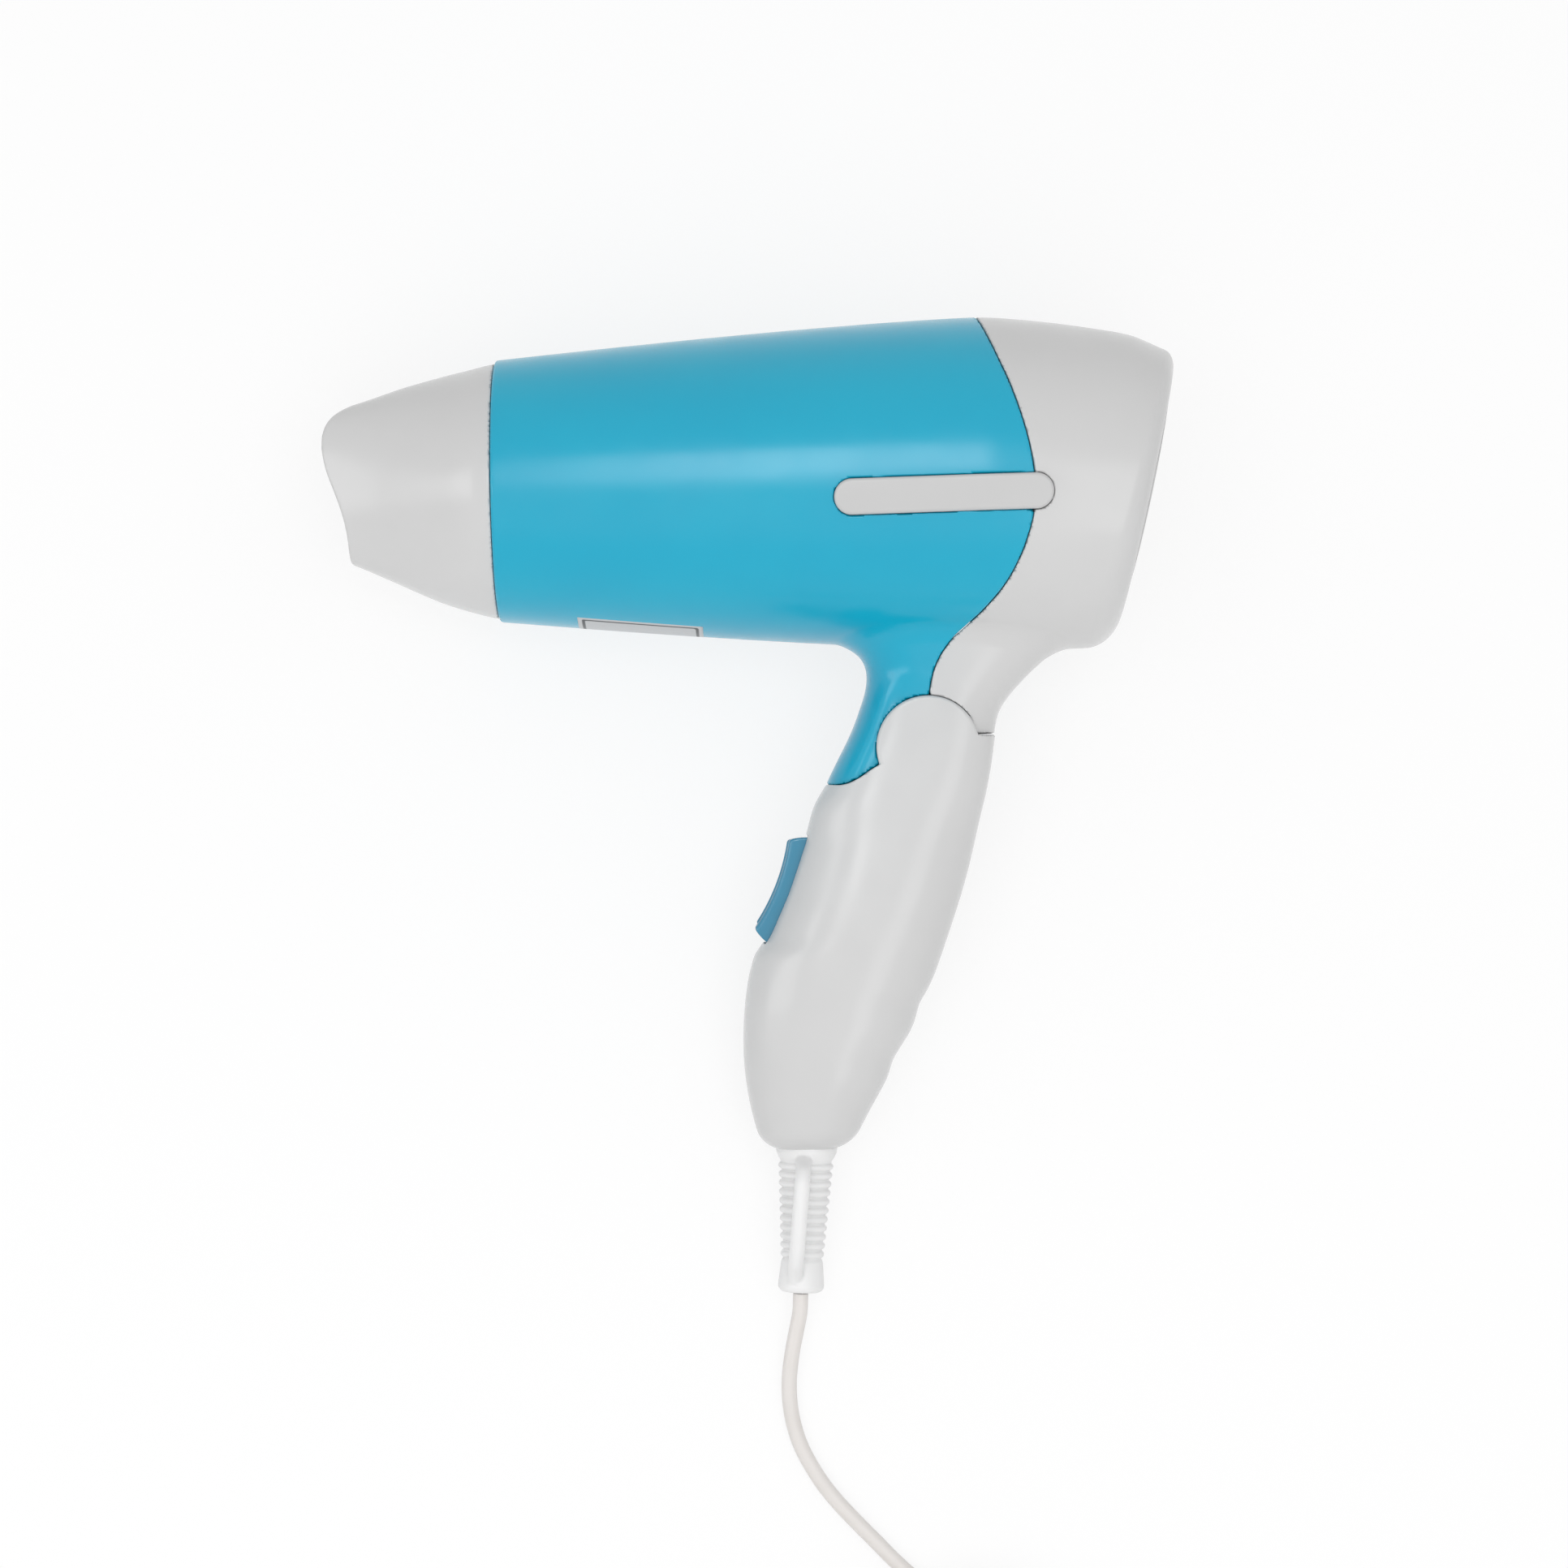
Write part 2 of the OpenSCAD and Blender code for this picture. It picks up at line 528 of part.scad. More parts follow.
hub_x0 = motor_x1 + 1.8;
hub_l = 9.4;
hub_r = 10.5;
module motor_shaft() color(steel) along_x(motor_x0 - 1.2) cylinder(h = hub_x0 + hub_l + 0.6 - motor_x0 + 1.2, r = shaft_r);
module fan() color(dark_grey) difference() {
    union() {
        turned([[0, hub_x0], [hub_r, hub_x0], [hub_r, hub_x0 + hub_l - 3], [hub_r - 3, hub_x0 + hub_l], [0, hub_x0 + hub_l]]);
        intersection() {
            ring_x(hub_x0 - 1, hub_x0 + hub_l, hub_r - 1, fan_r);
            for (i = [0 : fan_blades - 1]) rotate([360 * i / fan_blades, 0, 0])
                translate([hub_x0 + hub_l / 2 - 0.3, 0, hub_r - 1]) rotate([0, 0, 38])
                    translate([-5.4, -0.6, 0]) cube([10.8, 1.2, fan_r]);
        }
    }
    along_x(hub_x0 - 2) cylinder(h = hub_l + 4, r = shaft_r + 0.01);
}

grille_r = tail_d / 2 - 2;
grille_t = 1.8;
grille_pitch = 4.4;
module inlet_grille() color(dark_grey) at_inlet() {
    translate([0, 0, -grille_t - 0.2]) {
        difference() {
            cylinder(h = grille_t, r = grille_r);
            translate([0, 0, -1]) cylinder(h = grille_t + 2, r = grille_r - 2);
        }
        for (r = [grille_pitch : grille_pitch : grille_r - 3]) difference() {
            cylinder(h = grille_t - 0.2, r = r + 0.7);
            translate([0, 0, -1]) cylinder(h = grille_t + 2, r = r - 0.7);
        }
        for (a = [0 : 45 : 135]) rotate([0, 0, a]) translate([-grille_r + 1, -0.8, 0])
            cube([2 * grille_r - 2, 1.6, grille_t - 0.4]);
    }
}

screen_t = 0.8;
module inlet_screen() color(steel) at_inlet() translate([0, 0, -grille_t - 0.2 - gap - screen_t]) {
    difference() {
        cylinder(h = screen_t, r = grille_r - 0.4);
        translate([0, 0, -1]) cylinder(h = screen_t + 2, r = grille_r - 2.2);
    }
    for (a = [0, 90]) rotate([0, 0, a]) for (i = [-3 : 3]) let (y = i * grille_r / 4)
        translate([-sqrt(grille_r ^ 2 - y ^ 2) + 1.4, y - 0.25, 0.15])
            cube([2 * sqrt(grille_r ^ 2 - y ^ 2) - 2.8, 0.5, screen_t - 0.3]);
}

shell_screw_d = 2.8;
module screw(head_r, head_t, l, r) {
    translate([0, 0, -head_t]) difference() {
        cylinder(h = head_t, r = head_r);
        translate([-0.5, -head_r * 0.6, -1]) cube([1, head_r * 1.2, 1.8]);
        translate([-head_r * 0.6, -0.5, -1]) cube([head_r * 1.2, 1, 1.8]);
    }
    translate([0, 0, -0.01]) cylinder(h = l, r = r);
}
module shell_screws() color(steel) at_shell_screws() translate([0, 0, boss_seam_x + 8.05]) rotate([180, 0, 0])
    screw(2.4, 1.8, 14, shell_screw_d / 2);

wire_r = 0.8;
module head_wires() color("#c8c8c8") for (y = [-4, 4]) tube_along([
    [pivot_x - 2, y, -48], [pivot_x - 3, y, -44.5], [pivot_x - 6, y, -41], [pivot_x - 11, y, -38.2],
    [pivot_x - 16, y, -duct_r - duct_wall - 1.4], [pivot_x - 24, y, -duct_r - duct_wall - 1.2],
    [pivot_x - 28, y, -duct_r - duct_wall - 1.1]], wire_r, 6);

// ---- the fold pivot ----------------------------------------------------------------

washer_r = 6.5;
washer_t = 1;
module pivot_pin() color(steel) at_pivot() pin_y(pin_d / 2, -cheek_out + 1, cheek_out - 1);
module friction_washers() color("#8c6f3c") at_pivot() both_sides() difference() {
    pin_y(washer_r, cheek_in - washer_t + seat_gap, cheek_in);
    pin_y(pin_d / 2 + run_gap, 0, far);
}

// ---- handle -------------------------------------------------------------------------

handle_screw_at = [[6.2, -20.5 * g], [-25, -67 * g]];     // from the pivot
handle_boss_r = 3.6;
handle_screw_r = 1.4;
handle_screw_depth = 8;                  // from the parting plane to under the screw's head
relief_x = (grip_rows[len(grip_rows) - 1][1] + grip_rows[len(grip_rows) - 1][2]) / 2;
relief_lean = 3.2;
clamp_up = 11.8;                         // from the handle's end to the clamp
clamp_at = [relief_x + clamp_up * sin(relief_lean), clamp_up - handle_l];
sheath_up = clamp_up + 5;
clamp_screw_x = 7;
post_r = 2.8;
rocker_at = [value_at(grip_rows, -34.6 * g, 1) + 4.6, -34.6 * g];
rocker_lean = 22.2;
module at_rocker() at_pivot() translate([rocker_at[0], 0, rocker_at[1]]) rotate([0, rocker_lean, 0]) children();
rocker_deep = 5;                         // from the handle's face to the rocker's own pivot
rocker_end_r = norm([rocker_l / 2, rocker_deep]);
module at_relief() at_pivot() translate([relief_x, 0, -handle_l]) rotate([0, relief_lean, 0]) children();
relief_stub_r = 5;

module handle_bosses() {
    for (p = handle_screw_at) at_pivot() translate([p[0], 0, p[1]]) pin_y(handle_boss_r, -far, far);
    // Ribs that hold the switch
    for (z = [-9.5, 8]) at_rocker() both_sides() translate([4, switch_half_w + seat_gap, z]) cube([8, far, 1.6]);
}
module handle_posts() at_pivot() for (s = [-1, 1]) translate([clamp_at[0] + s * clamp_screw_x, 0, clamp_at[1]])
    pin_y(post_r, -far, cord_d / 2 - 0.6);

module handle_outside() {
    intersection() {
        loft_down(grip_rows);
        below_neck();
    }
    at_pivot() both_sides() pin_y(cheek_r, cheek_in - 0.5, cheek_out);
}
module handle_hollow() {
    loft_down(cavity_rows, handle_wall);
    // Room for the knuckle, and for the front lip as the handle folds
    at_pivot() pin_y(knuckle_r + gap + 0.5, -cheek_in, cheek_in);
    intersection() {
        at_pivot() pin_y(lip_reach, -cheek_in, cheek_in);
        at_pivot() side_prism([[0, 0], for (a = [lip_angle - 8 : 26 : lip_angle + fold_angle + 8])
            60 * [cos(a), sin(a)]]);
    }
}
module handle_half(side) difference() {
    union() {
        difference() {
            handle_outside();
            handle_hollow();
        }
        intersection() {
            loft_down(grip_rows, 0.6);
            below_neck();
            union() {
                handle_bosses();
                if (side < 0) handle_posts();
            }
        }
    }
    translate([0, side < 0 ? 0 : -2 * far, -150]) translate([-50, 0, -50]) cube([300, 2 * far, 300]);
    // Bores: the pivot pin's blind hole, the rocker's window, the strain relief and the screws
    at_pivot() pin_y(pin_d / 2 + 0.02, -cheek_out + 1, cheek_out - 1);
    at_rocker() pin_y(rocker_end_r + 0.35, -rocker_w / 2 - 0.35, rocker_w / 2 + 0.35);
    at_relief() cylinder(h = 12, r = relief_stub_r + seat_gap, center = true);
    at_pivot() for (p = handle_screw_at) translate([p[0], 0, p[1]]) {
        pin_y(handle_screw_r + run_gap, -9, far);
        pin_y(3.2, handle_screw_depth, far);
    }
    if (side < 0) at_pivot() for (s = [-1, 1]) translate([clamp_at[0] + s * clamp_screw_x, 0, clamp_at[1]])
        pin_y(1.1, -6, 10);
}
module handle_left() color(light_grey) handle_half(-1);
module handle_right() color(light_grey) handle_half(1);

module handle_screws() color(steel) at_pivot() for (p = handle_screw_at)
    translate([p[0], handle_screw_depth + run_gap, p[1]]) rotate([90, 0, 0])
        screw(2.9, 2.2, handle_screw_depth + 8, handle_screw_r);

// ---- switch ---------------------------------------------------------------------------

switch_half_w = 6.6;
switch_top = 2.3;                        // below the rocker's pivot
switch_deep = 12;
switch_half_l = rocker_l / 2 - 1;
ear_half = 5;
ear_in = 3.1;
rocker_pin_r = 1.1;
module switch_body() color(dark_grey) at_rocker() difference() {
    union() {
        translate([switch_top, -switch_half_w, -switch_half_l]) cube([switch_deep, 2 * switch_half_w, 2 * switch_half_l]);
        both_sides() translate([-1.5, ear_in, -2.4]) cube([switch_top + 2, ear_half - ear_in, 4.8]);
    }
    pin_y(rocker_pin_r + run_gap, -far, far);
}

rocker_proud = 3.3;
dish = 1.1;                              // depth of the hollow in the rocker's face
rocker_flat = rocker_l / 2 - 2.2;
dish_r = (rocker_flat ^ 2 + dish ^ 2) / (2 * dish);
module switch_rocker() color(sky_blue) at_rocker() {
    intersection() {
        side_prism(concat([[-1.9, -rocker_l], [-rocker_deep, -rocker_l / 2]],
            arc(-rocker_deep - rocker_proud + dish - dish_r, 0, dish_r, -asin(rocker_flat / dish_r),
                asin(rocker_flat / dish_r), 12),
            [[-rocker_deep, rocker_l / 2], [-1.9, rocker_l]]), -rocker_w / 2, rocker_w / 2);
        pin_y(rocker_end_r, -far, far);
    }
    pin_y(1.8, -ear_in + gap, ear_in - gap);
    translate([-2.4, -ear_in + gap, -1.8]) cube([2.4, 2 * ear_in - 2 * gap, 3.6]);
    pin_y(rocker_pin_r, -ear_half, ear_half);
}

blade_l = 4.5;
module switch_terminals() color(copper) at_rocker() for (z = [-7, 0, 7])
    translate([switch_top + switch_deep, -2.4, z - 0.4]) cube([blade_l, 4.8, 0.8]);
module capacitor() color("#c9a227") at_rocker() translate([switch_top + 2, -4.5, -switch_half_l - seat_gap - 9])
    cube([8, 9, 9]);

// ---- cord entry ------------------------------------------------------------------------

module cord_clamp() color(white) at_pivot() translate([clamp_at[0], 0, clamp_at[1]]) difference() {
    translate([-clamp_screw_x - 3, cord_d / 2 - 0.5, -2.6]) cube([2 * clamp_screw_x + 6, 3.6, 5.2]);
    translate([0, 0, -5]) cylinder(h = 10, r = cord_d / 2 + run_gap);
    for (s = [-1, 1]) translate([s * clamp_screw_x, 0, 0]) pin_y(1.05 + run_gap, 0, far);
}
module clamp_screws() color(steel) at_pivot() for (s = [-1, 1])
    translate([clamp_at[0] + s * clamp_screw_x, cord_d / 2 + 3.15, clamp_at[1]]) rotate([90, 0, 0]) screw(2.2, 1.5, 9, 1.05);

module handle_wires() color("#c8c8c8") {
    // The end of the cord's sheath, from the strain relief's tip to above the clamp
    at_relief() translate([0, 0, -relief_l + 1]) cylinder(h = relief_l - 1 + sheath_up, r = cord_d / 2 - 0.02);
    at_pivot() {
        for (s = [-1, 1]) tube_along([
            [clamp_at[0] + 0.3, s * 0.95, clamp_at[1] + 5.1], [clamp_at[0] + 1.2, s * 1.1, clamp_at[1] + 7.5],
            [clamp_at[0] + 8.5, s * 1.3, clamp_at[1] + 12], [clamp_at[0] + 13.5, s * 1.6, clamp_at[1] + 20],
            [rocker_at[0] + 14.6, s * 1.6, rocker_at[1] - 20], [rocker_at[0] + 14.9, s * 1.6, rocker_at[1] - 15.4]],
            wire_r, 6);
    }
}

relief_stub_l = handle_wall + 1.9;        // through the handle's end, to the flange inside
rib_pitch = 2.07;
ribs = 11;
rib_top = 3.1;
relief_wide = 14.4;
relief_thin = 9.6;
loop_w = 3.7;
loop_in = 10.6;                          // from the relief's axis to the loop's bar
loop_bar = 2.3;
module strain_relief() color(white) at_relief() difference() {
    union() {
        translate([0, 0, -gap]) rotate_extrude() polygon(concat(
            [[0, relief_stub_l + 1.3], [relief_stub_r + 1.3, relief_stub_l + 1.3],
                [relief_stub_r + 1.3, relief_stub_l], [relief_stub_r, relief_stub_l], [relief_stub_r, 0],
                [relief_wide / 2 - 0.5, 0],
                [relief_wide / 2, -0.5], [relief_wide / 2 - 1.15, -rib_top + 0.4], [relief_wide / 2 - 1.6, -rib_top]],
            [for (i = [0 : ribs - 1]) let (z = -rib_top - i * rib_pitch, r = mix(6.5, 5.05, i / (ribs - 1)))
                each [[r - 0.6, z], [r - 0.6, z - 0.7], [r, z - 0.85], [r, z - rib_pitch + 0.15]]],
            [[relief_thin / 2 - 0.4, -rib_top - ribs * rib_pitch], [relief_thin / 2, -rib_top - ribs * rib_pitch - 0.5],
                [5.45, -relief_l + 2.2], [5, -relief_l + 0.9], [3.6, -relief_l + gap], [0, -relief_l + gap]]));
        // The hang-up loop: a bar that stands off the ribs, from the collar to the tip
        translate([loop_w / 2, 0, 0]) rotate([0, -90, 0]) linear_extrude(height = loop_w) difference() {
            polygon(concat([[-0.6, -4]], arc(-5.6, -loop_in - loop_bar + 5, 5, 0, -90, 6),
                arc(-relief_l + 6.2, -loop_in - loop_bar + 5, 5, -90, -180, 6), [[-relief_l + 1.2, -4]]));
            polygon(concat([[-2.9, -5]], arc(-5.8, -loop_in + 2.9, 2.9, 0, -90, 4),
                arc(-relief_l + 6.6, -loop_in + 2.9, 2.9, -90, -180, 4), [[-relief_l + 3.7, -5]]));
        }
    }
    cylinder(h = 3 * relief_l, r = cord_d / 2, center = true);
}

// ---- how the dryer lies ----------------------------------------------------------------

// It rests on the far trim strip, the barrel's front rim and the handle's lower end.
lay_roll = 9.33;                         // the handle's end dips to the table
lay_pitch = 5.47;                        // and so does the nose
lay_at = [-58.31, 74.46, 30.51];
module lay_down() translate(lay_at) rotate([0, -lay_pitch, 0]) rotate([lay_roll, 0, 0])
    rotate([-90, 0, 0]) children();

// ---- the cord on the table ---------------------------------------------------------------

cord_r = cord_d / 2;
// From the strain relief down to the table and along it to the coil
cord_route = [
    [12.4, -112.85, 6.36], [12.2, -117.2, 5.6], [11.4, -121.4, 4.8], [10.6, -125.5, 4],
    [10, -129.6, 3.2], [9.7, -133.8, 2.5], [9.9, -138.4, 2], [10.7, -143.2, 1.85],
    [12.2, -148, 1.85], [14.5, -152.6, 1.85], [17.4, -157.2, 1.85], [21, -161.7, 1.85],
    [25.3, -166.3, 1.85], [29.7, -170.8, 1.85], [34.1, -175.3, 1.85], [38.8, -179.4, 1.9],
    [44.6, -182.2, 2.2], [50.5, -183.1, 2.5],
];
// From the coil to the plug
cord_lead = [[46.3, -234.3, 13.3], [41, -232.9, 13.3], [34.6, -231.2, 13.3], [28.2, -229.4, 13.3]];
module cord() color(white) {
    tube_along(cord_route, cord_r);
    tube_along(cord_lead, cord_r);
}

coil_at = [52, -209, 0.7];
coil_mid_r = 20.5;
coil_columns = 4;
coil_half = coil_columns * cord_d / 2;
module cord_coil() color(white) translate(coil_at) rotate_extrude()
    translate([coil_mid_r - coil_half, 0]) square(2 * coil_half);

tie_t = 0.6;
tie_w = 6;
tie_turn = 20;
tie_slack = 0.1;
tie_sag = coil_mid_r - coil_half - sqrt((coil_mid_r - coil_half) ^ 2 - (tie_w / 2) ^ 2);   // inside the ring
module tie_outline(out) polygon([[-coil_half - tie_sag - out, -out], [coil_half + out, -out],
    [coil_half + out, 2 * coil_half + out], [-coil_half - tie_sag - out, 2 * coil_half + out]]);
module coil_tie() color(dark_grey) translate(coil_at) rotate([0, 0, tie_turn]) translate([coil_mid_r, tie_w / 2, 0])
    rotate([90, 0, 0]) linear_extrude(height = tie_w) difference() {
        tie_outline(tie_slack + tie_t);
        tie_outline(tie_slack);
    }

plug_turn = 165;
plug_half_w = 17.6;
plug_half_h = 13;
plug_relief_l = 13;
plug_l = 44;
pin_spacing = 19;
module at_plug() translate(cord_lead[3]) rotate([0, 0, plug_turn]) children();
// [along the plug, half width, half height, squareness]
plug_rows = [
    [0.05, cord_r + 1.2, cord_r + 1.2, 2], [plug_relief_l - 1.5, 4.4, 4.4, 2], [plug_relief_l, 7, 6.6, 2.2],
    [plug_relief_l + 4, 9.6, 8.4, 2.5], [plug_relief_l + 11, 11.6, 9.6, 2.6], [plug_relief_l + 17, 14.8, 11.2, 2.7],
    [plug_relief_l + 22, 16.9, 12.5, 2.8], [plug_l - 5, plug_half_w, plug_half_h, 2.9],
    [plug_l - 0.7, plug_half_w, plug_half_h, 2.9], [plug_l, plug_half_w - 0.7, plug_half_h - 0.7, 2.9],
];
module plug_body() color(white) at_plug() skin([for (r = plug_rows)
    [for (p = oval(r[1], r[2], 32, r[3])) [r[0], p[0], p[1]]]]);
module plug_pins() color(steel) at_plug() for (s = [-1, 1]) translate([plug_l, s * pin_spacing / 2, 0])
    rotate([0, 90, 0]) {
        cylinder(h = plug_pin_l - 1.2, r = plug_pin_d / 2);
        translate([0, 0, plug_pin_l - 1.2]) cylinder(h = 1.2, r1 = plug_pin_d / 2, r2 = plug_pin_d / 2 - 1);
    }

lay_down() nozzle();
lay_down() nozzle_clip_ring();
lay_down() front_shell();
lay_down() rear_shell();
lay_down() trim_left();
lay_down() trim_right();
lay_down() rating_label();
lay_down() outlet_collar();
lay_down() outlet_guard();
lay_down() heater_sleeve();
lay_down() heater_frame();
lay_down() heater_coils();
lay_down() thermostat();
lay_down() thermal_fuse();
lay_down() fan_housing();
lay_down() motor_can();
lay_down() motor_end_cap();
lay_down() rectifier_board();
lay_down() motor_shaft();
lay_down() fan();
lay_down() inlet_grille();
lay_down() inlet_screen();
lay_down() shell_screws();
lay_down() head_wires();
lay_down() pivot_pin();
lay_down() friction_washers();
lay_down() handle_left();
lay_down() handle_right();
lay_down() handle_screws();
lay_down() switch_body();
lay_down() switch_rocker();
lay_down() switch_terminals();
lay_down() capacitor();
lay_down() cord_clamp();
lay_down() clamp_screws();
lay_down() handle_wires();
lay_down() strain_relief();
cord();
cord_coil();
coil_tie();
plug_body();
plug_pins();
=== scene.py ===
# Folding hair dryer lying on its side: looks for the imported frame.
# Everything is modelled in mm in the dryer's own upright frame and then laid down:
# x runs from the nozzle to the inlet, z away from the handle, -y is the side that is turned up.
import json
import math

import bpy
import numpy as np
from mathutils import Matrix, Vector


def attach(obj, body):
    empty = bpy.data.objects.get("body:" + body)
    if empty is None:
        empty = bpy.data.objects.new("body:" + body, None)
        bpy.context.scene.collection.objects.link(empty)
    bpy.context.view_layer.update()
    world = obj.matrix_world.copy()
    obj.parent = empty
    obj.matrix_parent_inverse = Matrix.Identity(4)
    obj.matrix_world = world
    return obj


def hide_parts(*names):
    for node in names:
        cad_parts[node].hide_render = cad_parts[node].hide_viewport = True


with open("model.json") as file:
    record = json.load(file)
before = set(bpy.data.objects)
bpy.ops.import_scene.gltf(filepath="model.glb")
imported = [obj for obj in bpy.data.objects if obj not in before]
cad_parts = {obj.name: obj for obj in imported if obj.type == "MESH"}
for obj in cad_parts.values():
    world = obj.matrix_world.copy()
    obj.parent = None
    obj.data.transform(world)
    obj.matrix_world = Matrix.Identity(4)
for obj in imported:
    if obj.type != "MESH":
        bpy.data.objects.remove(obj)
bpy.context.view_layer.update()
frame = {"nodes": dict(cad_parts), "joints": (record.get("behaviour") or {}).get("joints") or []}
joints = {j["name"]: j for j in frame["joints"]}

# the dryer's own frame, read from the joints
laid = {"turnPlane": -3.0, "pivotX": 99.7, "pivotZ": -61.8}
noseWay = Vector(joints["nozzle_turn"]["axis"]).normalized()
upSide = Vector(joints["fold"]["axis"]).normalized()         # towards whoever looks at it
axisX = -noseWay
axisY = -upSide
axisZ = axisX.cross(axisY)
origin = Vector(joints["nozzle_turn"]["pos_m"]) - axisX * laid["turnPlane"] / 1000
toRow = Matrix((
    (axisX.x, axisY.x, axisZ.x, origin.x),
    (axisX.y, axisY.y, axisZ.y, origin.y),
    (axisX.z, axisY.z, axisZ.z, origin.z),
    (0, 0, 0, 1)))


def rowPoint(x, y, z):
    return toRow @ Vector((x / 1000, y / 1000, z / 1000))


def addObject(name, data):
    made = bpy.data.objects.new(name, data)
    bpy.context.scene.collection.objects.link(made)
    return made


camera = {"place": (66.09, -1060, -69.86), "roll": 0.0162, "wide": 369.0, "away": 1060.0,
          "sensor": 36, "clip": 20}
eye = bpy.data.cameras.new("camera")
eye.sensor_width = camera["sensor"]
eye.lens = camera["sensor"] * camera["away"] / camera["wide"]
eye.clip_end = camera["clip"]
eyeObject = addObject("camera", eye)
rightWay = (axisX - axisZ * camera["roll"]).normalized()
topWay = upSide.cross(rightWay)
look = Matrix((rightWay, topWay, upSide)).transposed().to_4x4()
look.translation = rowPoint(*camera["place"])
eyeObject.matrix_world = look
bpy.context.scene.camera = eyeObject


def linear(hexColour):
    out = []
    for i in (1, 3, 5):
        c = int(hexColour[i:i + 2], 16) / 255
        out.append(c / 12.92 if c <= 0.04045 else ((c + 0.055) / 1.055) ** 2.4)
    return (*out, 1.0)


def addNode(tree, kind, inputs=None, **settings):
    made = tree.nodes.new("ShaderNode" + kind)
    for name, value in settings.items():
        setattr(made, name, value)
    for name, value in (inputs or {}).items():
        if isinstance(value, bpy.types.NodeSocket):
            tree.links.new(value, made.inputs[name])
        else:
            made.inputs[name].default_value = value
    return made


def perMetre(mm):                      # the scale of a pattern whose features are this many mm across
    return 1000.0 / mm


def startMaterial(name, **surface):
    mat = bpy.data.materials.new(name)
    mat.use_nodes = True
    tree = mat.node_tree
    shader = tree.nodes["Principled BSDF"]
    for key, value in surface.items():
        shader.inputs[key.replace("_", " ")].default_value = value
    where = addNode(tree, "TexCoord").outputs["Object"]
    return mat, tree, shader, where


def speckle(tree, where, mm, low, high, start=0.35, end=0.65, detail=2.0):
    # soft spots this many mm across, between a low and a high value
    spots = addNode(tree, "TexNoise", {"Vector": where, "Scale": perMetre(mm), "Detail": detail})
    inputs = {"Value": spots.outputs["Fac"], "From Min": start, "From Max": end,
              "To Min": low, "To Max": high}
    return addNode(tree, "MapRange", inputs, interpolation_type="SMOOTHSTEP").outputs["Result"]


def drift(tree, shader, where, light, deep, mm, detail=3):
    # the colour drifts between two close tones, in patches this many mm across
    cloud = speckle(tree, where, mm, 0, 1, 0.3, 0.7, detail)
    tone = addNode(tree, "Mix", {0: cloud, 6: linear(light), 7: linear(deep)}, data_type="RGBA")
    tree.links.new(tone.outputs[2], shader.inputs["Base Color"])


def haze(tree, shader, where, mm, low, high, **spread):
    # the gloss changes between two roughnesses, in patches this many mm across
    tree.links.new(speckle(tree, where, mm, low, high, **spread), shader.inputs["Roughness"])


def texture(tree, shader, where, mm, deep, strength, detail=2.0, under=None):
    # a fine relief this many mm across and this deep, laid over another one if there is one
    bumps = addNode(tree, "TexNoise", {"Vector": where, "Scale": perMetre(mm), "Detail": detail})
    inputs = {"Height": bumps.outputs["Fac"], "Distance": deep / 1000, "Strength": strength}
    if under is not None:
        inputs["Normal"] = under
    normal = addNode(tree, "Bump", inputs).outputs["Normal"]
    tree.links.new(normal, shader.inputs["Normal"])
    return normal


# the scuffs of a real polished mould are finer, and are drawn this coarse so that they show
mould = {"cloud": 26, "haze": 9, "wave": 7.0, "waveDeep": 0.02, "grain": 0.7, "grainDeep": 0.003}


def mouldedPlastic(name, tones, rough, ior=1.46):
    # ABS or polycarbonate from a polished mould: wavy highlights, hazy finger marks, a fine dust of scuffs
    mat, tree, shader, where = startMaterial(name, IOR=ior)
    drift(tree, shader, where, *tones, mould["cloud"])
    haze(tree, shader, where, mould["haze"], *rough, end=0.7, detail=4)
    wavy = texture(tree, shader, where, mould["wave"], mould["waveDeep"], 0.6, 1.0)
    texture(tree, shader, where, mould["grain"], mould["grainDeep"], 0.5, under=wavy)
    return mat


finish = {                             # two close tones, then the range of the roughness
    "blue": (("#07a5c4", "#06a2c2"), (0.19, 0.25)),
    "grey": (("#cbcbcb", "#c9c9c9"), (0.2, 0.262)),
    "white": (("#c2c2c2", "#c0c0c0"), (0.34, 0.42)),
    "rocker": (("#3787a6", "#3382a1"), (0.12, 0.18)),
}
blueAbs = mouldedPlastic("blueGlossAbs", *finish["blue"])
greyAbs = mouldedPlastic("greyGlossAbs", *finish["grey"])
whiteAbs = mouldedPlastic("whiteTrimAbs", *finish["white"])
rockerAbs = mouldedPlastic("rockerPolycarbonate", *finish["rocker"], ior=1.55)

# a spark-eroded grain is about a tenth of a millimetre across, and is drawn coarser so that it shows
spark = {"cloud": 5, "haze": 2.4, "grainDeep": 0.06}


def sparkPlastic(name, light, deep, grainMm=0.5, rough=0.55):
    # glass-filled nylon from a spark-eroded mould: an even matte grain that breaks up every highlight;
    # the board, the film block and the fuse's glaze take it with a softer grain
    mat, tree, shader, where = startMaterial(name, IOR=1.5)
    drift(tree, shader, where, light, deep, spark["cloud"])
    haze(tree, shader, where, spark["haze"], rough - 0.05, rough + 0.08)
    texture(tree, shader, where, grainMm, spark["grainDeep"], 0.5)
    return mat


vinyl = {"cloud": 14, "haze": 4, "wave": 3.0, "waveDeep": 0.03, "scatter": 0.08, "scatterDeep": 0.002,
         "scatterTint": (1.0, 0.95, 0.9)}


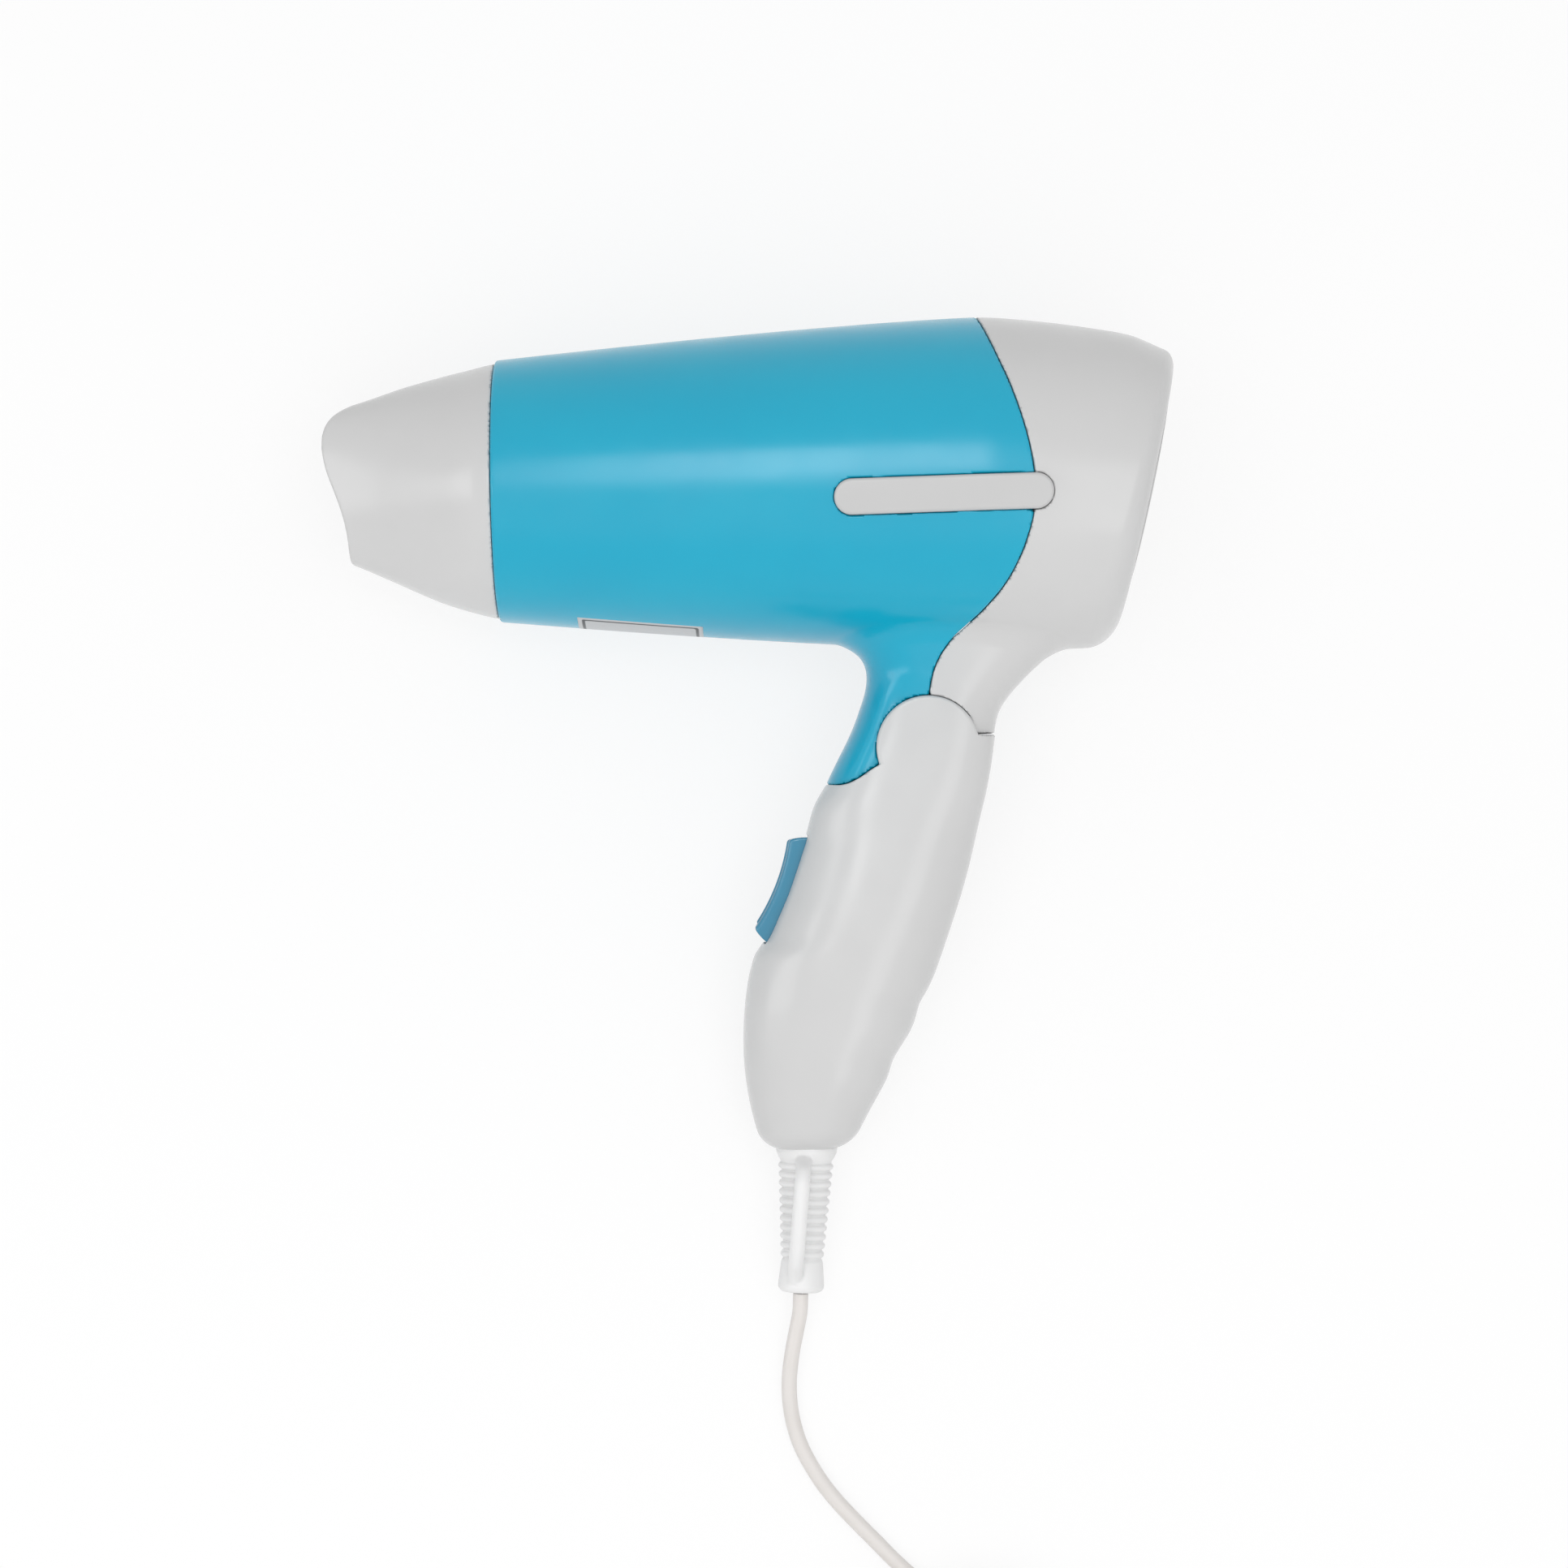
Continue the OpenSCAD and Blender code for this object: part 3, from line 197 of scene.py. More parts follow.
def softVinyl(name, light, deep, rough):
    # plasticised PVC: satin skin with slow waves from extrusion and a little surface scatter
    mat, tree, shader, where = startMaterial(
        name, IOR=1.48, Subsurface_Weight=vinyl["scatter"], Subsurface_Scale=vinyl["scatterDeep"],
        Subsurface_Radius=vinyl["scatterTint"])
    drift(tree, shader, where, light, deep, vinyl["cloud"], 2)
    haze(tree, shader, where, vinyl["haze"], rough - 0.04, rough + 0.06)
    texture(tree, shader, where, vinyl["wave"], vinyl["waveDeep"], 0.5)
    return mat


# drawing leaves lines of a few hundredths of a millimetre, drawn coarser here so that they show
metal = {"cloud": 3, "haze": 1.2, "squeeze": 0.08, "scratch": 0.35, "scratchDeep": 0.01}


def bareMetal(name, light, deep, rough):
    # plated or drawn metal: fine lines from drawing and slight changes of tone
    mat, tree, shader, where = startMaterial(name, Metallic=1.0)
    drift(tree, shader, where, light, deep, metal["cloud"])
    haze(tree, shader, where, metal["haze"], rough - 0.05, rough + 0.1)
    lines = addNode(tree, "Mapping", {"Vector": where, "Scale": (metal["squeeze"], 1.0, 1.0)})
    texture(tree, shader, lines.outputs["Vector"], metal["scratch"], metal["scratchDeep"], 0.4, 3.0)
    return mat


mica = {"tones": ("#cdbf9f", "#a8966f"), "flake": 1.6, "flakeEnd": 0.8, "flakeDeep": 0.05, "haze": 1.5,
        "rough": (0.3, 0.5)}


def micaSheet(name):
    # pressed mica board: flaky golden grey plates under a slight lustre
    mat, tree, shader, where = startMaterial(name, IOR=1.58)
    flakes = addNode(tree, "TexVoronoi", {"Vector": where, "Scale": perMetre(mica["flake"])})
    shade = addNode(tree, "MapRange", {"Value": flakes.outputs["Distance"], "From Max": mica["flakeEnd"]})
    light, deep = (linear(tone) for tone in mica["tones"])
    tone = addNode(tree, "Mix", {0: shade.outputs["Result"], 6: light, 7: deep}, data_type="RGBA")
    tree.links.new(tone.outputs[2], shader.inputs["Base Color"])
    haze(tree, shader, where, mica["haze"], *mica["rough"])
    plates = addNode(tree, "Bump", {"Height": flakes.outputs["Distance"], "Strength": 0.5,
                     "Distance": mica["flakeDeep"] / 1000})
    tree.links.new(plates.outputs["Normal"], shader.inputs["Normal"])
    return mat


# the border begins and ends over these distances from the rim, in mm
foil = {"tones": ("#c3c5c7", "#4b4f53"), "metallic": 0.75, "rough": 0.38, "squeeze": 0.05, "brush": 0.3,
        "brushDeep": 0.01, "border": (0.9, 1.1, 1.6, 1.8)}


def foilLabel(name):
    # brushed foil sticker, blank but for a printed border set by its own coordinates
    mat, tree, shader, where = startMaterial(name, Metallic=foil["metallic"], Roughness=foil["rough"])
    fromRim = addNode(tree, "Attribute", attribute_name="edge").outputs["Fac"]
    start, full, fade, end = foil["border"]
    rising = addNode(tree, "MapRange", {"Value": fromRim, "From Min": start, "From Max": full})
    falling = addNode(tree, "MapRange", {"Value": fromRim, "From Min": fade, "From Max": end,
                      "To Min": 1.0, "To Max": 0.0})
    border = addNode(tree, "Math", {0: rising.outputs["Result"], 1: falling.outputs["Result"]},
                     operation="MULTIPLY").outputs["Value"]
    bare, printed = (linear(tone) for tone in foil["tones"])
    tone = addNode(tree, "Mix", {0: border, 6: bare, 7: printed}, data_type="RGBA")
    tree.links.new(tone.outputs[2], shader.inputs["Base Color"])
    lines = addNode(tree, "Mapping", {"Vector": where, "Scale": (foil["squeeze"], 1.0, 1.0)})
    texture(tree, shader, lines.outputs["Vector"], foil["brush"], foil["brushDeep"], 0.4)
    return mat


darkNylon = sparkPlastic("darkNylon", "#3a3c3f", "#333538")
blackNylon = sparkPlastic("blackTieNylon", "#232426", "#1c1d1f", 0.8, 0.45)
boardGlass = sparkPlastic("greenGlassBoard", "#3d6b46", "#35603e", 0.9, 0.4)
filmBlock = sparkPlastic("yellowFilmBlock", "#caa32c", "#bd9624", 0.9, 0.4)
fuseGlaze = sparkPlastic("whiteCeramicGlaze", "#e6e3da", "#ddd9cf", 1.2, 0.18)
reliefVinyl = softVinyl("whiteReliefVinyl", "#e6e6e6", "#e2e2e2", 0.42)
cordVinyl = softVinyl("whiteCordVinyl", "#dcd8d5", "#d8d4d0", 0.36)
wireSleeve = softVinyl("greyWireSleeve", "#c2c2c2", "#b8b8b8", 0.4)
zincSteel = bareMetal("zincPlatedSteel", "#b3b6b9", "#a6a9ad", 0.34)
heatWire = bareMetal("nichromeWire", "#8b8078", "#776c65", 0.42)
washerBrass = bareMetal("washerBrass", "#b79a5e", "#a88b50", 0.35)
pinNickel = bareMetal("nickelPlatedBrass", "#cfc9bb", "#c4bdad", 0.16)
micaBoard = micaSheet("pressedMica")
blankFoil = foilLabel("blankFoil")
print("materials done")


# the solids are carved out of distance fields, in mm: negative inside, positive outside
carving = {"lineStep": 0.1, "slab": 8, "rounds": 4, "lastRounds": 2, "longest": 0.4, "relax": 0.6,
           "flattest": 0.05}


def cosSin(degrees):
    return math.cos(math.radians(degrees)), math.sin(math.radians(degrees))


def join(a, b, r):                     # both, with a fillet of radius r where they meet
    return np.maximum(r, np.minimum(a, b)) - np.hypot(np.maximum(r - a, 0), np.maximum(r - b, 0))


def meet(a, b, r):                     # what they share, its edge rounded to radius r
    return np.minimum(-r, np.maximum(a, b)) + np.hypot(np.maximum(r + a, 0), np.maximum(r + b, 0))


def softLine(points, soft):
    # a curve through the points, blurred a little so that highlights run along it without kinks
    s, v = np.array(sorted(points), float).T
    slope = np.gradient(v, s)
    step = carving["lineStep"]
    reach = int(3 * soft / step)
    dense = np.arange(s[0], s[-1] + step, step)
    i = np.clip(np.searchsorted(s, dense, "right") - 1, 0, len(s) - 2)
    h = s[i + 1] - s[i]
    t = (dense - s[i]) / h
    curve = ((2 * t**3 - 3 * t**2 + 1) * v[i] + (t**3 - 2 * t**2 + t) * h * slope[i]
             + (3 * t**2 - 2 * t**3) * v[i + 1] + (t**3 - t**2) * h * slope[i + 1])
    kernel = np.exp(-0.5 * (np.arange(-reach, reach + 1) * step / soft) ** 2)
    before = curve[0] + slope[0] * step * np.arange(-reach, 0)
    after = curve[-1] + slope[-1] * step * np.arange(1, reach + 1)
    curve = np.convolve(np.concatenate([before, curve, after]), kernel / kernel.sum(), "valid")
    return lambda q: np.interp(q, dense, curve)


def rowLines(rows, soft):              # a curve for each column, along the first one
    return [softLine([(row[0], row[k]) for row in rows], soft) for k in range(1, len(rows[0]))]


def ovalField(u, v, a, b, n):
    # about the distance to an oval with half widths a, b; n = 2 is an ellipse, more is squarer
    p, q = np.abs(u) / a + 1e-6, np.abs(v) / b + 1e-6
    s = (p**n + q**n) ** (1 / n)
    slope = s ** (1 - n) * np.hypot(p ** (n - 1) / a, q ** (n - 1) / b)
    return (s - 1) / slope


cellCorners = np.array([(i, j, k) for i in (0, 1) for j in (0, 1) for k in (0, 1)])


def slopeAt(field, points, reach):
    slope = np.empty_like(points)
    for a in range(3):
        shift = np.zeros(3)
        shift[a] = reach
        slope[:, a] = (field(*(points + shift).T) - field(*(points - shift).T)) / (2 * reach)
    return slope


def normalAt(field, points, reach):
    slope = slopeAt(field, points, reach)
    return slope / (np.linalg.norm(slope, axis=1, keepdims=True) + 1e-9)


def ontoSurface(field, points, reach, most):
    slope = slopeAt(field, points, reach)
    move = slope * (field(*points.T) / np.maximum((slope**2).sum(1), carving["flattest"]))[:, None]
    size = np.linalg.norm(move, axis=1, keepdims=True)
    return points - move * np.minimum(1, most / np.maximum(size, 1e-9))


def cellPoints(grid):
    # the grid cells that the surface crosses, numbered, and the middle of the crossings in each
    inside = grid < 0
    cells = np.array(grid.shape) - 1
    number = sum(inside[c[0]:c[0] + cells[0], c[1]:c[1] + cells[1], c[2]:c[2] + cells[2]].astype(np.int8)
                 for c in cellCorners)
    crossed = (number > 0) & (number < 8)
    where = np.argwhere(crossed)
    index = np.full(cells, -1, np.int64)
    index[crossed] = np.arange(len(where))
    value = np.stack([grid[tuple((where + c).T)] for c in cellCorners], 1)
    total, hits = np.zeros((len(where), 3)), np.zeros((len(where), 1))
    for a in range(8):
        for b in range(a + 1, 8):
            way = cellCorners[b] - cellCorners[a]
            if abs(way).sum() == 1:
                cuts = ((value[:, a] < 0) != (value[:, b] < 0))[:, None]
                t = value[:, a] / np.where(cuts[:, 0], value[:, a] - value[:, b], 1)
                total += np.where(cuts, cellCorners[a] + t[:, None] * way, 0)
                hits += cuts
    return index, where + total / hits


def cellQuads(grid, index):
    # a quad round every grid edge that the surface crosses
    inside = grid < 0
    count = grid.shape
    quads = []
    for axis in range(3):
        u, v = np.eye(3, dtype=int)[(axis + 1) % 3], np.eye(3, dtype=int)[(axis + 2) % 3]
        near = [slice(1, c - 1) for c in count]
        near[axis] = slice(0, count[axis] - 1)
        past = list(near)
        past[axis] = slice(1, count[axis])
        a, b = inside[tuple(near)], inside[tuple(past)]
        for mask, flip in ((a & ~b, False), (~a & b, True)):
            p = np.argwhere(mask) + u + v
            ring = np.stack([index[tuple(q.T)] for q in (p, p - u, p - u - v, p - v)], 1)
            quads.append(ring[:, ::-1] if flip else ring)
    return np.concatenate(quads)


def evened(field, points, quads, reach):
    # each point moved along the surface, towards the middle of its neighbours
    total, hits = np.zeros_like(points), np.zeros((len(points), 1))
    for a, b in ((0, 1), (1, 2), (2, 3), (3, 0)):
        np.add.at(total, quads[:, a], points[quads[:, b]])
        np.add.at(hits, quads[:, a], 1)
    normal = normalAt(field, points, reach)
    move = total / hits - points
    return points + carving["relax"] * (move - (move * normal).sum(1, keepdims=True) * normal)


def carve(name, field, low, high, step, material, reach):
    # one point in each grid cell that the surface crosses, joined into quads and drawn onto the surface
    low = np.array(low, float)
    count = np.ceil((np.array(high) - low) / step).astype(int) + 1
    xs, ys, zs = [low[i] + step * np.arange(count[i]) for i in range(3)]
    grid = np.empty(count, np.float32)
    slab = carving["slab"]
    for i in range(0, count[0], slab):
        grid[i:i + slab] = field(*np.meshgrid(xs[i:i + slab], ys, zs, indexing="ij"))
    index, places = cellPoints(grid)
    quads = cellQuads(grid, index)
    points = low + step * places
    longest = carving["longest"] * step
    for _ in range(carving["rounds"]):
        points = ontoSurface(field, points, reach, longest)
        points = evened(field, points, quads, reach)
    for _ in range(carving["lastRounds"]):
        points = ontoSurface(field, points, reach, longest)
    return solid(name, points, quads, material, normalAt(field, points, reach))


def solid(name, points, faces, material, normal=None, place=toRow):
    mesh = bpy.data.meshes.new(name)
    mesh.from_pydata((np.asarray(points, float) / 1000).tolist(), [], [list(map(int, f)) for f in faces])
    mesh.transform(place)
    mesh.shade_smooth()
    mesh.materials.append(material)
    if normal is not None:
        turned = np.array(normal) @ np.array(place.to_3x3()).T
        mesh.normals_split_custom_set_from_vertices(turned.tolist())
    made = addObject(name, mesh)
    print(name, len(mesh.vertices), "points")
    return made


def finishPiece(piece, body, slot, *nodes):
    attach(piece, body)
    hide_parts(*nodes)


def carvePiece(node, body, slot, field, box, material, reach=0.1):
    # the skin that is seen in place of one node of the frame
    finishPiece(carve(node + "_skin", field, *box, material, reach), body, slot, node)


def squared(distance, line, at, reach=0.5):
    # a distance taken straight across, made the distance square to a sloping line
    steep = (line(at + reach) - line(at - reach)) / (2 * reach)
    return distance / np.sqrt(1 + steep**2)


# the head: barrel, tail and neck
head = {
    "frontR": 30.7, "rearR": 39.0, "widest": 113, "flare": 1.32, "wall": 2.0, "wallEdge": 0.3,
    "soft": 1.0, "neckSoft": 1.5, "seamSoft": 0.8,
    "top": [(121, 38.5), (131.6, 37.3), (141.2, 35.8), (147, 34.75), (149.8, 34.0), (151.6, 33.2),
            (158.3, 30.1), (166, 26.5)],
    "bottom": [(121, -39.05), (131.6, -39.2), (140, -38.95), (150, -38.4), (166, -37.4)],
    "rearX": 152.2, "rearZ": -2.3, "lean": 12.7, "saddle": 0.9, "saddleHalf": 34,
    "rimTop": 2.6, "rimBottom": 6.0, "rimSpan": 60, "frontRim": 0.6,
    "outletR": 25.1, "outletDeep": 8, "inletR": 28.6, "inletFrom": 140, "inletEdge": 0.4,
    # height below the barrel's axis, front, rear, half width
    "neck": [(-31.8, 78.6, 135.7, 17.7), (-37.3, 81.4, 132.7, 16.6), (-40.8, 84.9, 128.7, 15.9),
             (-44.8, 86.0, 124.1, 15.4), (-48.6, 85.5, 120.5, 15.2), (-52.8, 84.1, 117.2, 15.2),
             (-56.6, 82.7, 116.0, 15.2), (-61.8, 80.2, 115.4, 15.2), (-65.8, 78.1, 114.8, 15.2),
             (-71.3, 75.4, 113.7, 15.2), (-78, 72.0, 112.0, 15.2)],
    "neckSquare": 2.5, "neckHalf": 12.7, "neckFillet": 3.2, "neckFrom": -27,
    # half width of the neck's flat sides, from front to rear
    "cap": [(80, 12.7), (90, 12.7), (93, 12.75), (97, 14), (101, 15.1), (104, 15.4), (130, 15.4)],
    "capTop": -51.6, "capRise": 0.036, "capEdge": 1.2,
    "cheekR": 12.0, "cheekPlay": 0.1, "cheekEdge": 0.12, "gap": 0.16, "edge": 0.25, "lipEdge": 0.08,
    "knuckleR": 11.5, "knucklePlay": 0.35, "knuckleEdge": 0.2, "knuckleRound": 1.1, "pivotR": 2.6,
    "frontBox": ((-1.5, -41, -74), (127, 41, 41), 0.64), "rearBox": ((87, -41, -75), (162, 41, 41), 0.6),
}
barrel = [(x, head["rearR"] - (head["rearR"] - head["frontR"])
           * ((head["widest"] - x) / head["widest"]) ** head["flare"]) for x in range(-4, head["widest"], 3)]
barrel.append((head["widest"], head["rearR"]))
topLine = softLine(barrel + head["top"], head["soft"])
bottomLine = softLine([(x, -r) for x, r in barrel] + head["bottom"], head["soft"])
neckFront, neckRear, neckHalf = rowLines(head["neck"], head["neckSoft"])
neckCap = softLine(head["cap"], head["soft"])
leanCos, leanSin = cosSin(head["lean"])


def fromPivot(x, z):
    return np.hypot(x - laid["pivotX"], z - laid["pivotZ"])


def bodyField(x, y, z):
    top, bottom = topLine(x), bottomLine(x)
    side = squared(np.hypot(y, z - (top + bottom) / 2) - (top - bottom) / 2, topLine, x, 1)
    rear = (x - head["rearX"]) * leanCos - (z - head["rearZ"]) * leanSin
    rear = rear + head["saddle"] * (y / head["saddleHalf"]) ** 2
    share = np.clip(0.5 - z / head["rimSpan"], 0, 1)
    rim = head["rimTop"] + (head["rimBottom"] - head["rimTop"]) * share
    return meet(meet(side, rear, rim), -x, head["frontRim"])


def headField(x, y, z):
    front, rear = neckFront(z), neckRear(z)
    neck = ovalField(x - (front + rear) / 2, y, (rear - front) / 2, neckHalf(z), head["neckSquare"])
    cap = neckCap(x) + head["capRise"] * np.maximum(z - head["capTop"], 0) ** 2
    neck = meet(neck, np.abs(y) - cap, head["capEdge"])
    recess = np.maximum(fromPivot(x, z) - head["cheekR"] - head["cheekPlay"], head["neckHalf"] - np.abs(y))
    neck = meet(neck, -recess, head["cheekEdge"])
    neck = np.maximum(neck, z - head["neckFrom"])
    return join(bodyField(x, y, z), neck, head["neckFillet"])


seam = [(45, 110.9), (39, 112.6), (28.7, 116.2), (20.1, 119.4), (12.3, 121.8), (5.4, 123.4),
        (-1.4, 124.3), (-5, 124.4), (-12, 123.3), (-19, 120.8), (-25.5, 117.1), (-31.4, 111.8),
        (-36.4, 106.1), (-41, 102.7), (-45.6, 100.9), (-50, 100.2), (-62, 100.2), (-80, 100.2)]
seamLine = softLine(seam, head["seamSoft"])


def seamField(x, z):
    return squared(x - seamLine(z), seamLine, z)


# where the neck ends over the handle: the points are taken from the pivot
lip = {"points": [(20, -1), (0, -1), (-8, -2.2), (-11.2, -3.8), (-13.6, -5.2), (-15.9, -6.8), (-19.7, -8.4),
                  (-23.6, -8.4), (-40, -7.6)], "soft": 0.5, "rearEdge": 2.7, "gap": 0.3, "frontShare": 0.2}
lipLine = softLine([(laid["pivotX"] + x, laid["pivotZ"] + z) for x, z in lip["points"]], lip["soft"])


def neckEnd(x, z, gap=0.0):            # above this the head, below it the handle
    rear = laid["pivotZ"] + lip["rearEdge"] + gap
    return np.where(x > laid["pivotX"], rear, lipLine(x) + gap * lip["frontShare"]) - z


trim = {"x": 78.5, "z": -4.9, "long": 50.0, "high": 8.2, "tilt": -0.9, "proud": 0.9, "edge": 0.75,
        "seat": 1.0, "seatEdge": 0.15, "play": 0.06, "playUnder": 0.1,
        "leftBox": ((77, -42, -11), (130, -33, 2), 0.45), "rightBox": ((77, 33, -11), (130, 42, 2), 0.45)}


def trimPlan(x, z):
    half = trim["high"] / 2
    c, s = cosSin(trim["tilt"])
    u = (x - trim["x"]) * c - (z - trim["z"]) * s
    v = (x - trim["x"]) * s + (z - trim["z"]) * c
    return np.hypot(u - np.clip(u, half, trim["long"] - half), v) - half


def shellField(x, y, z):
    outside = headField(x, y, z)
    shell = meet(outside, -(outside + head["wall"]), head["wallEdge"])
    pocket = np.maximum(trimPlan(x, z) - trim["play"], -(outside + trim["seat"] + trim["playUnder"]))
    return meet(shell, -pocket, trim["seatEdge"])


def frontField(x, y, z):
    shell = meet(shellField(x, y, z), seamField(x, z) + head["gap"], head["edge"])
    shell = meet(shell, neckEnd(x, z), head["lipEdge"])
    shell = meet(shell, head["knuckleR"] + head["knucklePlay"] - fromPivot(x, z), head["knuckleEdge"])
    outlet = np.maximum(np.hypot(y, z) - head["outletR"], x - head["outletDeep"])
    return meet(shell, -outlet, head["wallEdge"])


def rearField(x, y, z):
    shell = meet(shellField(x, y, z), -seamField(x, z), head["edge"])
    shell = meet(shell, neckEnd(x, z, lip["gap"]), head["edge"])
    away = fromPivot(x, z)
    knuckle = meet(away - head["knuckleR"], np.abs(y) - head["neckHalf"], head["knuckleRound"])
    shell = np.minimum(shell, np.maximum(knuckle, head["pivotR"] - away))
    u = (x - head["rearX"]) * leanSin + (z - head["rearZ"]) * leanCos
    inlet = np.maximum(np.hypot(y, u) - head["inletR"], head["inletFrom"] - x)
    return meet(shell, -inlet, head["inletEdge"])


carvePiece("front_shell", "head", "blue_plastic", frontField, head["frontBox"], blueAbs)
carvePiece("rear_shell", "head", "grey_plastic", rearField, head["rearBox"], greyAbs)


def trimField(x, y, z):
    outside = bodyField(x, y, z)
    strip = meet(trimPlan(x, z), outside - trim["proud"], trim["edge"])
    return meet(strip, -(outside + trim["seat"]), trim["seatEdge"])


for name, box in (("trim_left", "leftBox"), ("trim_right", "rightBox")):
    carvePiece(name, "head", "white_plastic", trimField, trim[box], whiteAbs)
print("head done")


nozzle = {
    "wall": 1.6, "back": -0.1, "backEdge": 0.35, "soft": 2, "halfSoft": 2.5, "mouthSoft": 0.8,
    "seatR": 26.65, "seatX": -7.0, "seatOver": 0.4, "seatEdge": 0.2,
    "top": [(2, 30.2), (-0.7, 29.9), (-6.9, 28.35), (-11.8, 27.3), (-16.6, 26.0), (-21.4, 24.75),
            (-26.1, 23.2), (-31, 21.6), (-35.8, 20.2), (-46, 17.6)],
    "bottom": [(2, -30.2), (-0.7, -29.9), (-7.4, -28.1), (-12.2, -26.6), (-17, -24.6), (-21.8, -22.4),
               (-26.5, -20.2), (-31.6, -17.9), (-36, -16.1), (-46, -13.0)],
    "half": [(2, 30.2), (-0.7, 29.9), (-7, 28.6), (-12.3, 25.2), (-21.4, 19.0), (-30.6, 12.8),
             (-38, 9.2), (-46, 7.6)],
    "square": [(2, 2.0), (-7, 2.0), (-12, 2.1), (-21, 2.3), (-31, 2.6), (-46, 3.2)],
    "mouth": [(24, -31), (20.5, -34.6), (19, -37.1), (17.5, -38.7), (14.8, -40.2), (11, -40.7),
              (7.1, -40.2), (3.3, -39.1), (-0.6, -37.6), (-4.4, -36.3), (-8.2, -35.3), (-12.1, -34.8),
              (-15.9, -34.7), (-22, -34.7)], "mouthEdge": 0.55,
    "box": ((-42.5, -31.5, -31.5), (1, 31.5, 31.5), 0.6),
}
nozzleTop, nozzleBottom, nozzleSquare = [softLine(nozzle[key], nozzle["soft"])
                                         for key in ("top", "bottom", "square")]
nozzleHalf = softLine(nozzle["half"], nozzle["halfSoft"])
mouthLine = softLine(nozzle["mouth"], nozzle["mouthSoft"])


def nozzleSkin(x, y, z):
    top, bottom = nozzleTop(x), nozzleBottom(x)
    return ovalField(z - (top + bottom) / 2, y, (top - bottom) / 2, nozzleHalf(x), nozzleSquare(x))


def nozzleField(x, y, z):
    skin = nozzleSkin(x, y, z)
    hollow = np.maximum(skin + nozzle["wall"], x - nozzle["seatX"])
    seat = np.maximum(np.hypot(y, z) - nozzle["seatR"], nozzle["seatX"] - nozzle["seatOver"] - x)
    piece = meet(skin, x - nozzle["back"], nozzle["backEdge"])
    piece = meet(piece, -np.minimum(hollow, seat), nozzle["seatEdge"])
    return meet(piece, squared(mouthLine(z) - x, mouthLine, z), nozzle["mouthEdge"])


carvePiece("nozzle", "nozzle", "grey_plastic", nozzleField, nozzle["box"], greyAbs)
print("nozzle done")


handle = {
    "wall": 2.4, "cheekIn": 12.8, "cheekEdge": 0.7, "bottom": -155.5, "bottomRound": 4.5, "parting": 0.22,
    "square": [(-160, 2.4), (-130, 2.5), (-110, 2.5), (-95, 2.7), (-82, 2.8), (-72, 3.4), (-58, 3.6),
               (-40, 3.6)],
    "front": [(-40, 84.5), (-57.8, 82.3), (-64, 79.4), (-70, 76.1), (-75, 73.1), (-78.8, 71.9), (-82.5, 70.9),
              (-87.4, 69.2), (-92.6, 67.4), (-96.5, 65.9), (-100.2, 64.2), (-103.9, 62.5), (-106.5, 61.1),
              (-109.2, 58.9), (-112.9, 57.6), (-120.5, 56.2), (-128.2, 55.6), (-135.8, 55.7), (-142.7, 56.5),
              (-147.3, 57.4), (-151.9, 58.6), (-160, 61.0)],
    "rear": [(-40, 117), (-59.1, 115.8), (-64.2, 115.1), (-71.8, 113.7), (-79.4, 111.8), (-87, 110.0),
             (-94.6, 107.9), (-102.2, 105.4), (-109.9, 102.7), (-117.4, 99.7), (-119.6, 98.5),
             (-121.5, 97.3), (-123.5, 96.6), (-126, 95.9), (-128.8, 94.6), (-131, 93.2), (-132.8, 92.0),
             (-134.6, 90.9), (-136.4, 90.2), (-138.7, 89.5), (-143.2, 87.1), (-147.8, 84.5),
             (-152.2, 82.2), (-160, 78.5)],
    "half": [(-40, 15.4), (-62, 15.4), (-72, 15.6), (-80, 16.0), (-90, 16.6), (-102, 17.2), (-112, 17.2),
             (-122, 16.8), (-132, 15.8), (-140, 14.6), (-148, 12.9), (-153, 11.6), (-160, 9.5)],
    "screws": [(105.9, -82.3), (74.7, -128.8)], "screwDeep": 8.0, "screwR": 1.5, "headR": 3.2,
    "bossR": 4.3, "bossFrom": 2, "bossUnder": 0.6, "hollowEdge": 0.25, "windowEdge": 0.3,
    # the room that the head's neck moves in
    "slotPlay": 0.6, "slotUnder": 1.2, "lipReach": 25.5, "lipRear": 4, "lipLow": 24, "lipPlay": 0.02,
    "lipEdge": 0.1,
    "soft": {"front": 1.0, "rear": 0.7, "half": 3, "square": 4},
    "leftBox": ((53.5, -19, -157), (118, 1, -48), 0.5), "rightBox": ((53.5, -1, -157), (118, 19, -48), 0.5),
}
gripFront, gripRear, gripHalf, gripSquare = [softLine(handle[key], soft)
                                             for key, soft in handle["soft"].items()]
rocker = {
    "x": 70.57, "z": -96.4, "lean": 22.2, "endR": 13.93, "endEdge": 0.5, "half": 5.5, "play": 0.35,
    "face": 8.3, "edge": 0.3, "dish": 1.25, "dishHalf": 10.9, "bevel": 0.7, "bevelLean": (0.6, 0.8),
    "ridge": 2.7, "ridgeHigh": 0.4, "ridgeMid": 1.2, "ridgeHalf": 11.0, "ridgeFrom": 3, "ridgeFillet": 0.25,
    "base": 1.9, "baseBow": 13, "footR": 2.0, "footHalf": 2.8, "footEdge": 0.2, "footFillet": 0.4,
    "box": ((55, -6.3, -111), (73.5, 6.3, -81), 0.34), "reach": 0.06,
}
rockCos, rockSin = cosSin(rocker["lean"])


def gripField(x, y, z):
    front, rear = gripFront(z), gripRear(z)
    grip = ovalField(x - (front + rear) / 2, y, (rear - front) / 2, gripHalf(z), gripSquare(z))
    return meet(grip, handle["bottom"] - z, handle["bottomRound"])


